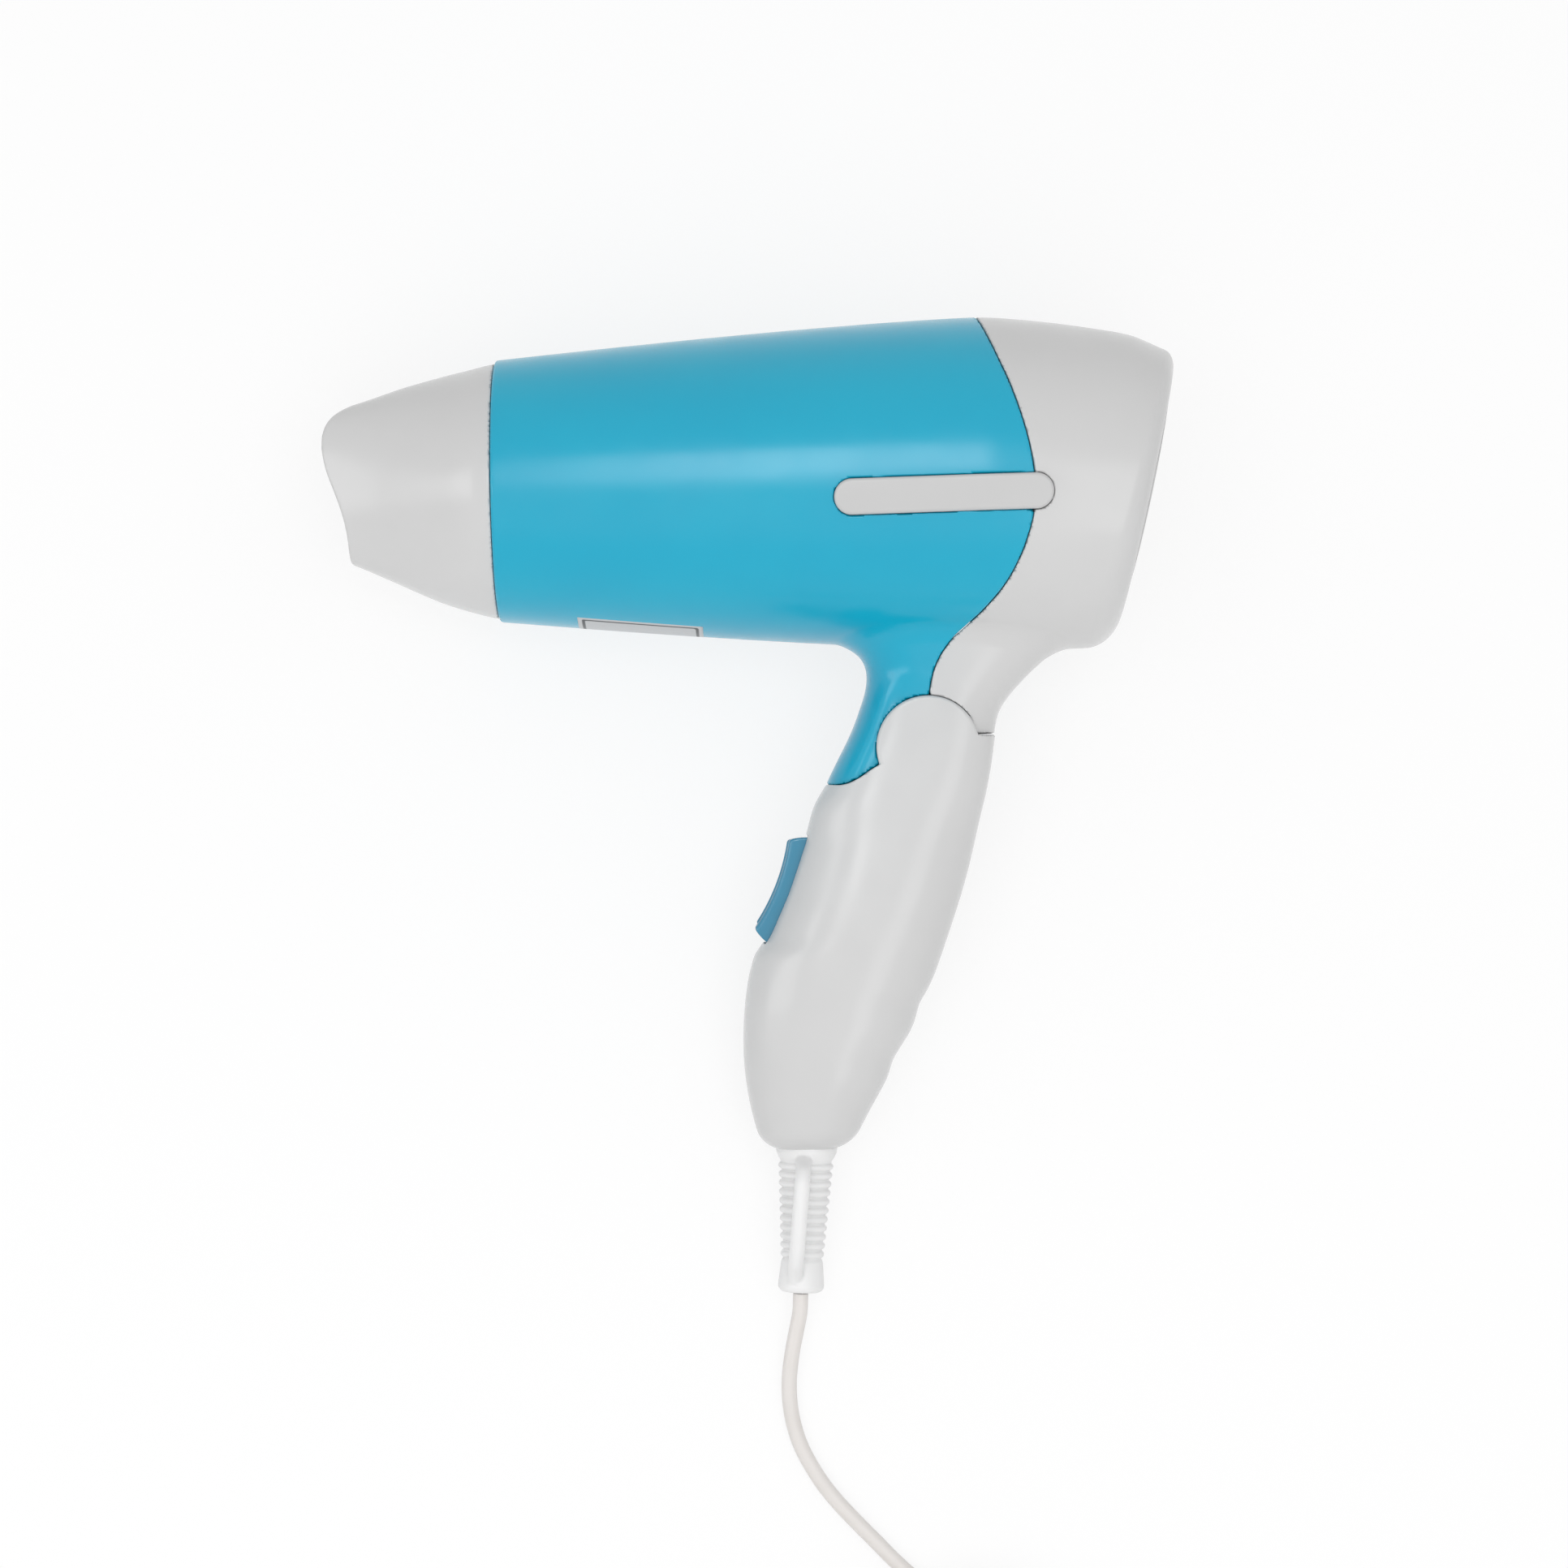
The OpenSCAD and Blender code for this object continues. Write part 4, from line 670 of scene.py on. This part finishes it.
def handleField(x, y, z):
    away = fromPivot(x, z)
    outside = gripField(x, y, z)
    between = np.abs(y) - handle["cheekIn"]
    covered = np.minimum(outside + handle["slotUnder"], neckEnd(x, z, lip["gap"]))
    slot = np.maximum(np.maximum(away - head["knuckleR"] - handle["slotPlay"], between), covered)
    lipRoom = np.maximum(np.maximum(away - handle["lipReach"], between),
                         np.maximum(x - laid["pivotX"] - handle["lipRear"],
                                    laid["pivotZ"] - handle["lipLow"] - z))
    lipRoom = np.maximum(lipRoom, outside + handle["slotUnder"])
    hollow = np.minimum(np.minimum(outside + handle["wall"], slot), lipRoom)
    below = meet(outside, handle["lipPlay"] - neckEnd(x, z), handle["lipEdge"])
    cheek = meet(outside, away - head["cheekR"], handle["cheekEdge"])
    piece = meet(np.minimum(below, cheek), -hollow, handle["hollowEdge"])
    window = np.maximum(np.hypot(x - rocker["x"], z - rocker["z"]) - rocker["endR"] - rocker["play"],
                        np.abs(y) - rocker["half"] - rocker["play"])
    return meet(piece, -window, handle["windowEdge"])


def leftField(x, y, z):
    return meet(handleField(x, y, z), y, handle["parting"])


def rightField(x, y, z):
    piece = handleField(x, y, z)
    outside = gripField(x, y, z)
    for sx, sz in handle["screws"]:
        ring = np.hypot(x - sx, z - sz)
        boss = np.maximum(ring - handle["bossR"], outside + handle["bossUnder"])
        piece = np.minimum(piece, np.maximum(boss, handle["bossFrom"] - y))
        well = np.maximum(ring - handle["headR"], handle["screwDeep"] - y)
        piece = meet(piece, -well, handle["hollowEdge"])
        piece = np.maximum(piece, handle["screwR"] - ring)
    return meet(piece, -y, handle["parting"])


for name, field, box in (("handle_left", leftField, "leftBox"), ("handle_right", rightField, "rightBox")):
    carvePiece(name, "handle", "grey_plastic", field, handle[box], greyAbs)
print("handle done")


def rockerField(x, y, z):
    edge = rocker["edge"]
    u = -((x - rocker["x"]) * rockCos - (z - rocker["z"]) * rockSin)      # outwards
    s = (x - rocker["x"]) * rockSin + (z - rocker["z"]) * rockCos         # along, to its upper end
    dish = rocker["dish"] * np.clip(1 - (s / rocker["dishHalf"]) ** 2, 0, 1)
    face = u - (rocker["face"] - dish)
    side = np.abs(y) - rocker["half"]
    bevel = (side + rocker["bevel"]) * rocker["bevelLean"][0] + face * rocker["bevelLean"][1]
    block = meet(meet(face, side, edge), bevel, edge)
    ridge = meet(meet(face - rocker["ridgeHigh"], np.abs(y) - rocker["ridge"], edge),
                 np.abs(s - rocker["ridgeMid"]) - rocker["ridgeHalf"], edge)
    block = join(block, np.maximum(ridge, rocker["ridgeFrom"] - u), rocker["ridgeFillet"])
    block = meet(block, np.hypot(u, s) - rocker["endR"], rocker["endEdge"])
    foot = meet(np.hypot(u, s) - rocker["footR"], np.abs(y) - rocker["footHalf"], rocker["footEdge"])
    under = rocker["base"] + (s / rocker["baseBow"]) ** 2 - u
    return join(meet(block, under, edge), foot, rocker["footFillet"])


carvePiece("switch_rocker", "rocker", "blue_plastic", rockerField, rocker["box"], rockerAbs, rocker["reach"])
print("rocker done")


relief = {
    "x": 70.0, "z": -155.6, "lean": 3.2, "long": 34.2, "bore": 1.8,
    "ribs": 11, "pitch": 2.07, "firstRib": 3.1, "ribTop": 6.45, "ribEnd": 5.1, "ribIn": 0.75,
    "ribRound": 0.78, "ribDeep": 2.2, "ribFillet": 0.35,
    # radii: the core's and the end's at three places each, the collar's against the way down
    "core": (5.8, 5.75, 4.35), "coreFrom": -0.2, "corePast": 1, "coreEdge": 0.2,
    "collar": [(0, 7.2), (0.9, 7.1), (2.2, 6.5), (3.0, 5.95), (3.4, 5.75)],
    "collarFrom": -0.8, "collarTo": 3.3, "collarEdge": 0.4, "collarFillet": 0.5,
    "end": (4.8, 5.45, 5.2), "endOver": 0.3, "endWidest": 6.5, "endEdge": 1.3, "endFillet": 0.4,
    # the loop's bar: its radius, its sideways shift, and how far it stands from the middle, down along it
    "bar": 1.8, "barShift": [(1, -0.5), (28, -1.5)], "barFrom": 0.5, "barTo": 31.5, "barFillet": 0.5,
    "barSoft": 0.6,
    "barHigh": [(-2, 4.0), (0.5, 4.6), (2.5, 6.2), (4.5, 9.0), (7, 10.9), (10, 11.2), (21, 11.2),
                (24.5, 10.4), (27, 8.4), (29, 5.6), (31, 3.6), (34, 2.5)],
    "box": ((59, -16, -191.5), (79, 8.5, -154.5), 0.36), "reach": 0.06,
}
barLine = softLine(relief["barHigh"], relief["barSoft"])
reliefCos, reliefSin = cosSin(relief["lean"])


def reliefField(x, y, z):
    dx, dz = x - relief["x"], z - relief["z"]
    u = dx * reliefCos - dz * reliefSin
    d = -dx * reliefSin - dz * reliefCos
    r = np.hypot(u, y)
    ribEnd = relief["firstRib"] + relief["ribs"] * relief["pitch"]
    core = np.interp(d, [0, relief["firstRib"], ribEnd], relief["core"])
    core = meet(r - core, np.maximum(relief["coreFrom"] - d, d - ribEnd - relief["corePast"]),
                relief["coreEdge"])
    collar = meet(r - np.interp(d, *zip(*relief["collar"])),
                  np.maximum(relief["collarFrom"] - d, d - relief["collarTo"]), relief["collarEdge"])
    k = np.clip(np.round((d - relief["firstRib"]) / relief["pitch"] - 0.5), 0, relief["ribs"] - 1)
    mid = relief["firstRib"] + (k + 0.5) * relief["pitch"]
    out = relief["ribTop"] + (relief["ribEnd"] - relief["ribTop"]) * k / (relief["ribs"] - 1)
    rib = np.hypot(np.maximum(r - out + relief["ribIn"], 0), d - mid) - relief["ribRound"]
    rib = np.maximum(rib, out - relief["ribDeep"] - r)
    endFrom = ribEnd - relief["endOver"]
    endR = np.interp(d, [endFrom, ribEnd + relief["endWidest"], relief["long"]], relief["end"])
    end = meet(r - endR, np.maximum(endFrom - d, d - relief["long"] + relief["endFillet"]), relief["endEdge"])
    sleeve = join(join(join(core, rib, relief["ribFillet"]), collar, relief["collarFillet"]), end,
                  relief["endFillet"])
    # the hang-up loop: a bar that leaves the collar, runs down outside the ribs and comes back at the end
    shift = np.interp(d, *zip(*relief["barShift"]))
    bar = np.hypot(u - shift, squared(-y - barLine(d), barLine, d)) - relief["bar"]
    bar = np.maximum(bar, np.maximum(relief["barFrom"] - d, d - relief["barTo"]))
    piece = join(sleeve, bar, relief["barFillet"])
    return np.maximum(piece, relief["bore"] - r)


carvePiece("strain_relief", "handle", "soft_white", reliefField, relief["box"], reliefVinyl, relief["reach"])
print("strain relief done")


# the cord goes down to the table, along it, into its coil and out to the plug
cord = {
    "thick": 3.6, "length": 1.84, "perSpan": 6, "round": 6, "roundQuick": 3,
    "route": [
        (12.4, -112.85, 6.36), (12.2, -117.2, 5.6), (11.4, -121.4, 4.8), (10.6, -125.5, 4),
        (10, -129.6, 3.2), (9.7, -133.8, 2.5), (9.9, -138.4, 2), (10.7, -143.2, 1.85),
        (12.2, -148, 1.85), (14.5, -152.6, 1.85), (17.4, -157.2, 1.85), (21, -161.7, 1.85),
        (25.3, -166.3, 1.85), (29.7, -170.8, 1.85), (34.1, -175.3, 1.85), (38.8, -179.4, 1.9),
        (44.6, -182.2, 2.2), (50.5, -183.1, 2.5)],
    "lead": [(46.3, -234.3, 13.3), (41, -232.9, 13.3), (34.6, -231.2, 13.3), (28.2, -229.4, 13.3)],
}
coil = {"x": 52.0, "y": -209.0, "low": 2.5, "inner": 15.1, "outer": 25.9, "layers": 4, "start": 90.0,
        "leave": -102.7, "perTurn": 40}


def throughPoints(points):
    p = np.array(points, float)
    ends = np.vstack([2 * p[0] - p[1], p, 2 * p[-1] - p[-2]])
    out = []
    for i in range(1, len(ends) - 2):
        a, b, c, d = ends[i - 1:i + 3]
        for t in np.arange(cord["perSpan"]) / cord["perSpan"]:
            out.append(0.5 * (2 * b + (c - a) * t + (2 * a - 5 * b + 4 * c - d) * t**2
                              + (3 * b - a - 3 * c + d) * t**3))
    return out + [p[-1]]


def coilPoints():
    # each layer is a flat spiral; between two layers the cord climbs while it goes round about half a turn
    pitch, turnsIn = cord["thick"], (coil["outer"] - coil["inner"]) / cord["thick"]
    spirals = coil["layers"] * turnsIn
    total = spirals + 1 + (coil["start"] - coil["leave"]) / 360 % 1
    climb = (total - spirals) / (coil["layers"] - 1)
    out = []
    for t in np.linspace(0, total, int(total * coil["perTurn"])):
        layer = min(int(t / (turnsIn + climb)), coil["layers"] - 1)
        done = t - layer * (turnsIn + climb)
        across = min(done, turnsIn) * pitch
        r = coil["outer"] - across if layer % 2 == 0 else coil["inner"] + across
        rise = 0.5 - 0.5 * math.cos(math.pi * max(done - turnsIn, 0) / climb)
        c, s = cosSin(coil["start"] - 360 * t)
        out.append((coil["x"] + r * c, coil["y"] + r * s, coil["low"] + pitch * (layer + rise)))
    return out


cordLine = throughPoints(cord["route"]) + coilPoints()[:-1] + throughPoints(cord["lead"])
curve = bpy.data.curves.new("cord_line", "CURVE")
curve.dimensions = "3D"
curve.bevel_depth = cord["thick"] / 2000
curve.bevel_resolution = cord["round"]
curve.use_fill_caps = True
line = curve.splines.new("POLY")
line.points.add(len(cordLine) - 1)
for point, place in zip(line.points, cordLine):
    point.co = (*[float(c) / 1000 for c in place], 1)
line.use_smooth = True
curve.materials.append(cordVinyl)
cordPiece = addObject("cord_line", curve)
finishPiece(cordPiece, "handle", "cord_white", "cord", "cord_coil")


def loft(name, rings, material, place):
    # a closed solid through rings of equal numbers of points, with a fan of faces over each end
    n, m = len(rings[0]), len(rings)
    points = [p for ring in rings for p in ring] + [np.mean(rings[0], 0), np.mean(rings[-1], 0)]
    faces = [(i * n + j, i * n + (j + 1) % n, (i + 1) * n + (j + 1) % n, (i + 1) * n + j)
             for i in range(m - 1) for j in range(n)]
    faces += [(n * m, (j + 1) % n, j) for j in range(n)]
    faces += [(n * m + 1, (m - 1) * n + j, (m - 1) * n + (j + 1) % n) for j in range(n)]
    return solid(name, points, faces, material, None, place)


def oval(a, b, square, n=64):
    turn = 2 * math.pi * (np.arange(n) + 0.5) / n
    c, s = np.cos(turn), np.sin(turn)
    return a * np.sign(c) * np.abs(c) ** (2 / square), b * np.sign(s) * np.abs(s) ** (2 / square)


# a soft band round the four columns of cord
tie = {"wide": 6.0, "thick": 0.7, "turn": 20.0, "slack": 0.12, "loopSquare": 7, "loopPoints": 72,
       "bandSquare": 5, "bandPoints": 20}


def tiePiece():
    half = (coil["outer"] - coil["inner"] + cord["thick"]) / 2 + tie["slack"] + tie["thick"] / 2
    mid = (coil["outer"] + coil["inner"]) / 2
    u, v = oval(half, half, tie["loopSquare"], tie["loopPoints"])
    p, q = oval(tie["wide"] / 2, tie["thick"] / 2, tie["bandSquare"], tie["bandPoints"])
    height = coil["low"] - cord["thick"] / 2 + half - tie["slack"] - tie["thick"] / 2
    c, s = cosSin(tie["turn"])
    out, along = np.array((c, s, 0)), np.array((-s, c, 0))
    rings = []
    for k in range(len(u)):
        centre = np.array((coil["x"], coil["y"], height)) + out * (mid + u[k]) + np.array((0, 0, v[k]))
        outward = out * u[k] + np.array((0, 0, v[k]))
        outward /= np.linalg.norm(outward)
        rings.append([centre + along * p[j] + outward * q[j] for j in range(len(p))])
    n, m = len(rings[0]), len(rings)
    faces = [(i * n + j, i * n + (j + 1) % n, (i + 1) % m * n + (j + 1) % n, (i + 1) % m * n + j)
             for i in range(m) for j in range(n)]
    return solid("coil_tie_band", np.concatenate(rings), faces, blackNylon, None, Matrix.Identity(4))


tieBand = tiePiece()
finishPiece(tieBand, "handle", "tie_black", "coil_tie")


plug = {
    "turn": 165.0, "front": 0.05, "shoulder": 43.4, "long": 44.0, "step": 0.35, "endRings": 6, "soft": 0.35,
    # along the plug, half width, half height, squareness
    "rows": [(0.05, 2.6, 2.6, 2), (1.2, 3.0, 3.0, 2), (11.5, 4.3, 4.3, 2), (13.0, 6.6, 6.2, 2.2),
             (17, 9.6, 8.4, 2.5), (24, 11.6, 9.6, 2.6), (30, 14.8, 11.2, 2.7), (35, 16.9, 12.5, 2.8),
             (39, 17.6, 13.0, 2.9), (43.0, 17.6, 13.0, 2.9), (43.7, 17.3, 12.7, 2.9), (44, 16.6, 12.0, 2.9)],
    # from, to and how many: finger grooves at the sides, rings round the cord's sleeve
    "grips": (20.0, 29.0, 5), "sleeveRings": (3, 11, 4), "grooveDeep": 0.35,
    "pinApart": 19.0, "pinR": 2.4, "pinLong": 19.0, "pinTip": 1.2, "sleeve": 10.0, "sleeveThick": 0.03,
    "pinPoints": 32, "tipRings": 6, "tipFrom": 0.15,
}
plugWay = (Matrix.Translation(Vector(cord["lead"][-1]) / 1000)
           @ Matrix.Rotation(math.radians(plug["turn"]), 4, "Z"))


def groove(x, start, stop, count):
    if not start < x < stop:
        return 0.0
    return plug["grooveDeep"] * (0.5 - 0.5 * math.cos(2 * math.pi * count * (x - start) / (stop - start)))


def plugPiece():
    columns = rowLines(plug["rows"], plug["soft"])
    rings = []
    for x in np.concatenate([np.arange(plug["front"], plug["shoulder"], plug["step"]),
                             np.linspace(plug["shoulder"], plug["long"], plug["endRings"])]):
        a, b, square = (float(c(x)) for c in columns)
        ring = groove(x, *plug["sleeveRings"])
        y, z = oval(a - groove(x, *plug["grips"]) - ring, b - ring, square)
        rings.append([(x, y[j], z[j]) for j in range(len(y))])
    return loft("plug_body_skin", rings, cordVinyl, plugWay)


def pinPiece(name, radius, start, stop, tip, material):
    # turned about its own line, with a rounded tip
    made = []
    for side in (-1, 1):
        profile = [(start, radius), (stop - tip, radius)]
        profile += [(stop - tip + tip * math.sin(a), radius - tip * (1 - math.cos(a)))
                    for a in np.linspace(plug["tipFrom"], math.pi / 2, plug["tipRings"])]
        turns = np.linspace(0, 2 * math.pi, plug["pinPoints"], endpoint=False)
        rings = [[(x, side * plug["pinApart"] / 2 + r * math.cos(t), r * math.sin(t)) for t in turns]
                 for x, r in profile]
        made.append(loft(name + ("_a" if side < 0 else "_b"), rings, material, plugWay))
    return made


plugBody = plugPiece()
finishPiece(plugBody, "handle", "cord_white", "plug_body")
pins = pinPiece("plug_pin", plug["pinR"], plug["long"], plug["long"] + plug["pinLong"],
                plug["pinTip"], pinNickel)
sleeves = pinPiece("plug_pin_sleeve", plug["pinR"] + plug["sleeveThick"], plug["long"],
                   plug["long"] + plug["sleeve"], plug["sleeveThick"], darkNylon)
for piece in pins:
    finishPiece(piece, "handle", "brass", "plug_pins")
for piece in sleeves:
    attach(piece, "handle")
print("cord done")


# a thin blank foil round the underside of the barrel
label = {"x": 18.6, "long": 29.2, "half": 11.9, "thick": 0.25, "proud": 0.02, "cells": 40}


def labelPoint(layer, i, j):
    across = label["cells"] + 1
    return layer * across * across + i * across + j


def labelPiece():
    # a thin rectangle in two layers, bent to the barrel
    n = label["cells"]
    points, edges = [], []
    for layer in (0, 1):
        for i in range(n + 1):
            for j in range(n + 1):
                x = label["x"] + label["long"] * i / n
                y = label["half"] * (2 * j / n - 1)
                r = -float(bottomLine(x)) - label["thick"] * (1 - layer) + label["proud"] * layer
                points.append((x, r * math.sin(y / r), -r * math.cos(y / r)))
                edges.append(min(x - label["x"], label["x"] + label["long"] - x, label["half"] - abs(y)))
    at = labelPoint
    faces = []
    for i in range(n):
        for j in range(n):
            faces.append((at(1, i, j), at(1, i, j + 1), at(1, i + 1, j + 1), at(1, i + 1, j)))
            faces.append((at(0, i, j), at(0, i + 1, j), at(0, i + 1, j + 1), at(0, i, j + 1)))
    for i in range(n):
        faces.append((at(0, i, 0), at(1, i, 0), at(1, i + 1, 0), at(0, i + 1, 0)))
        faces.append((at(0, i, n), at(0, i + 1, n), at(1, i + 1, n), at(1, i, n)))
    for j in range(n):
        faces.append((at(0, 0, j), at(0, 0, j + 1), at(1, 0, j + 1), at(1, 0, j)))
        faces.append((at(0, n, j), at(1, n, j), at(1, n, j + 1), at(0, n, j + 1)))
    made = solid("rating_label_foil", points, faces, blankFoil)
    rim = made.data.attributes.new("edge", "FLOAT", "POINT")
    rim.data.foreach_set("value", edges)
    return made


finishPiece(labelPiece(), "head", "silver_label", "rating_label")
print("label done")


# finishes for the pieces kept from the frame
kept = (
    (darkNylon, ("nozzle_clip_ring", "outlet_collar", "outlet_guard", "fan_housing", "motor_end_cap", "fan",
                 "switch_body")),
    (zincSteel, ("thermostat", "motor_can", "motor_shaft", "inlet_screen", "shell_screws", "handle_screws",
                 "clamp_screws", "pivot_pin")),
    (washerBrass, ("friction_washers", "switch_terminals")),
    (micaBoard, ("heater_sleeve", "heater_frame")),
    (wireSleeve, ("head_wires", "handle_wires")),
    (greyAbs, ("inlet_grille",)), (heatWire, ("heater_coils",)), (fuseGlaze, ("thermal_fuse",)),
    (boardGlass, ("rectifier_board",)), (filmBlock, ("capacitor",)), (reliefVinyl, ("cord_clamp",)),
)
for material, names in kept:
    for name in names:
        for slot in frame["nodes"][name].material_slots:
            slot.material = material


studio = {
    "floor": 3.0, "floorDrop": 0.0003, "floorColour": "#f4f4f4", "glow": 0.78, "worldLight": 0.72,
    # the corners that come lowest when the head is folded up
    "lowCorners": {"head": (0.6, 30.8, 1.3), "nozzle": (-3.2, 29.5, 1.3)},
    # in metres along the barrel and away from the handle, then the power; the heights are above its axis
    "lamp": ((-0.6, 0.7), (-1.1, 0.3), 8.0), "lampUp": 1.2, "cardUp": 1.15,
    "cards": {
        "card": ((-0.235, -0.03), (0.06, 0.51), 1.27),
        "cardRight": ((-0.03, 0.2), (0.12, 0.51), 1.11),
        "cardEdge": ((-0.235, -0.03), (-0.05, 0.06), 0.1),
        "sideCard": ((0.36, 0.85), (-0.8, 0.3), 2.3),
        "noseCard": ((-4.5, -0.7), (-0.2, 0.4), 15.8),
    },
}


def seenDirectly(tree):
    # 1 for what the camera sees, in gloss and through glass too, 0 for the light that falls on things
    path = addNode(tree, "LightPath")
    seen = path.outputs["Is Camera Ray"]
    for ray in ("Is Glossy Ray", "Is Transmission Ray"):
        seen = addNode(tree, "Math", {0: seen, 1: path.outputs[ray]}, operation="MAXIMUM").outputs["Value"]
    return seen


def floorMaterial():
    # matt white paper; what the camera and the gloss see is lifted to the white of the background
    mat, tree, shader, _ = startMaterial(
        "whitePaper", Base_Color=linear(studio["floorColour"]), Roughness=0.9, IOR=1.3)
    share = addNode(tree, "Math", {0: seenDirectly(tree), 1: studio["glow"]}, operation="MULTIPLY")
    glow = addNode(tree, "Emission", {"Color": (1, 1, 1, 1), "Strength": 1.0})
    mixed = addNode(tree, "MixShader", {0: share.outputs[0], 1: shader.outputs[0], 2: glow.outputs[0]})
    tree.links.new(mixed.outputs[0], tree.nodes["Material Output"].inputs["Surface"])
    return mat


floorMesh = bpy.data.meshes.new("floor")
size = studio["floor"]
floorMesh.from_pydata([(-size, -size, 0), (size, -size, 0), (size, size, 0), (-size, size, 0)], [],
                      [(0, 1, 2, 3)])
floorMesh.materials.append(floorMaterial())
floor = addObject("floor", floorMesh)
floor.location.z = -studio["floorDrop"]
# folded up, the head dips below the table that it lies on at rest, so the floor sinks under it
for body, corner in studio["lowCorners"].items():
    marker = addObject(body + "_low_corner", None)
    marker.location = rowPoint(*corner)
    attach(marker, body)
    sink = floor.constraints.new("FLOOR")
    sink.target = marker
    sink.floor_location = "FLOOR_NEGATIVE_Z"
    sink.offset = floor.location.z

world = bpy.data.worlds.new("world")
world.use_nodes = True
tree = world.node_tree
level = addNode(tree, "MapRange", {"Value": seenDirectly(tree), "To Min": studio["worldLight"],
                "To Max": 1.0})
background = tree.nodes["Background"]
background.inputs["Color"].default_value = (1, 1, 1, 1)
tree.links.new(level.outputs["Result"], background.inputs["Strength"])
bpy.context.scene.world = world


def softbox(name, along, away, power, up, card=False):
    # a flat box over the dryer; a card is seen only as a reflection, the others light without one
    lamp = bpy.data.lights.new(name, "AREA")
    lamp.shape = "RECTANGLE"
    lamp.size, lamp.size_y, lamp.energy = along[1] - along[0], away[1] - away[0], power
    made = addObject(name, lamp)
    facing = Matrix((axisX, axisZ, axisX.cross(axisZ))).transposed().to_4x4()
    middle = origin + axisX * (sum(along) / 2) + axisZ * (sum(away) / 2) + upSide * up
    made.matrix_world = Matrix.Translation(middle) @ facing
    made.visible_diffuse, made.visible_glossy = not card, card


softbox("overhead", *studio["lamp"], studio["lampUp"])
for name, box in studio["cards"].items():
    softbox(name, *box, studio["cardUp"], card=True)
bpy.context.scene.view_settings.view_transform = "Standard"

print("scene done")
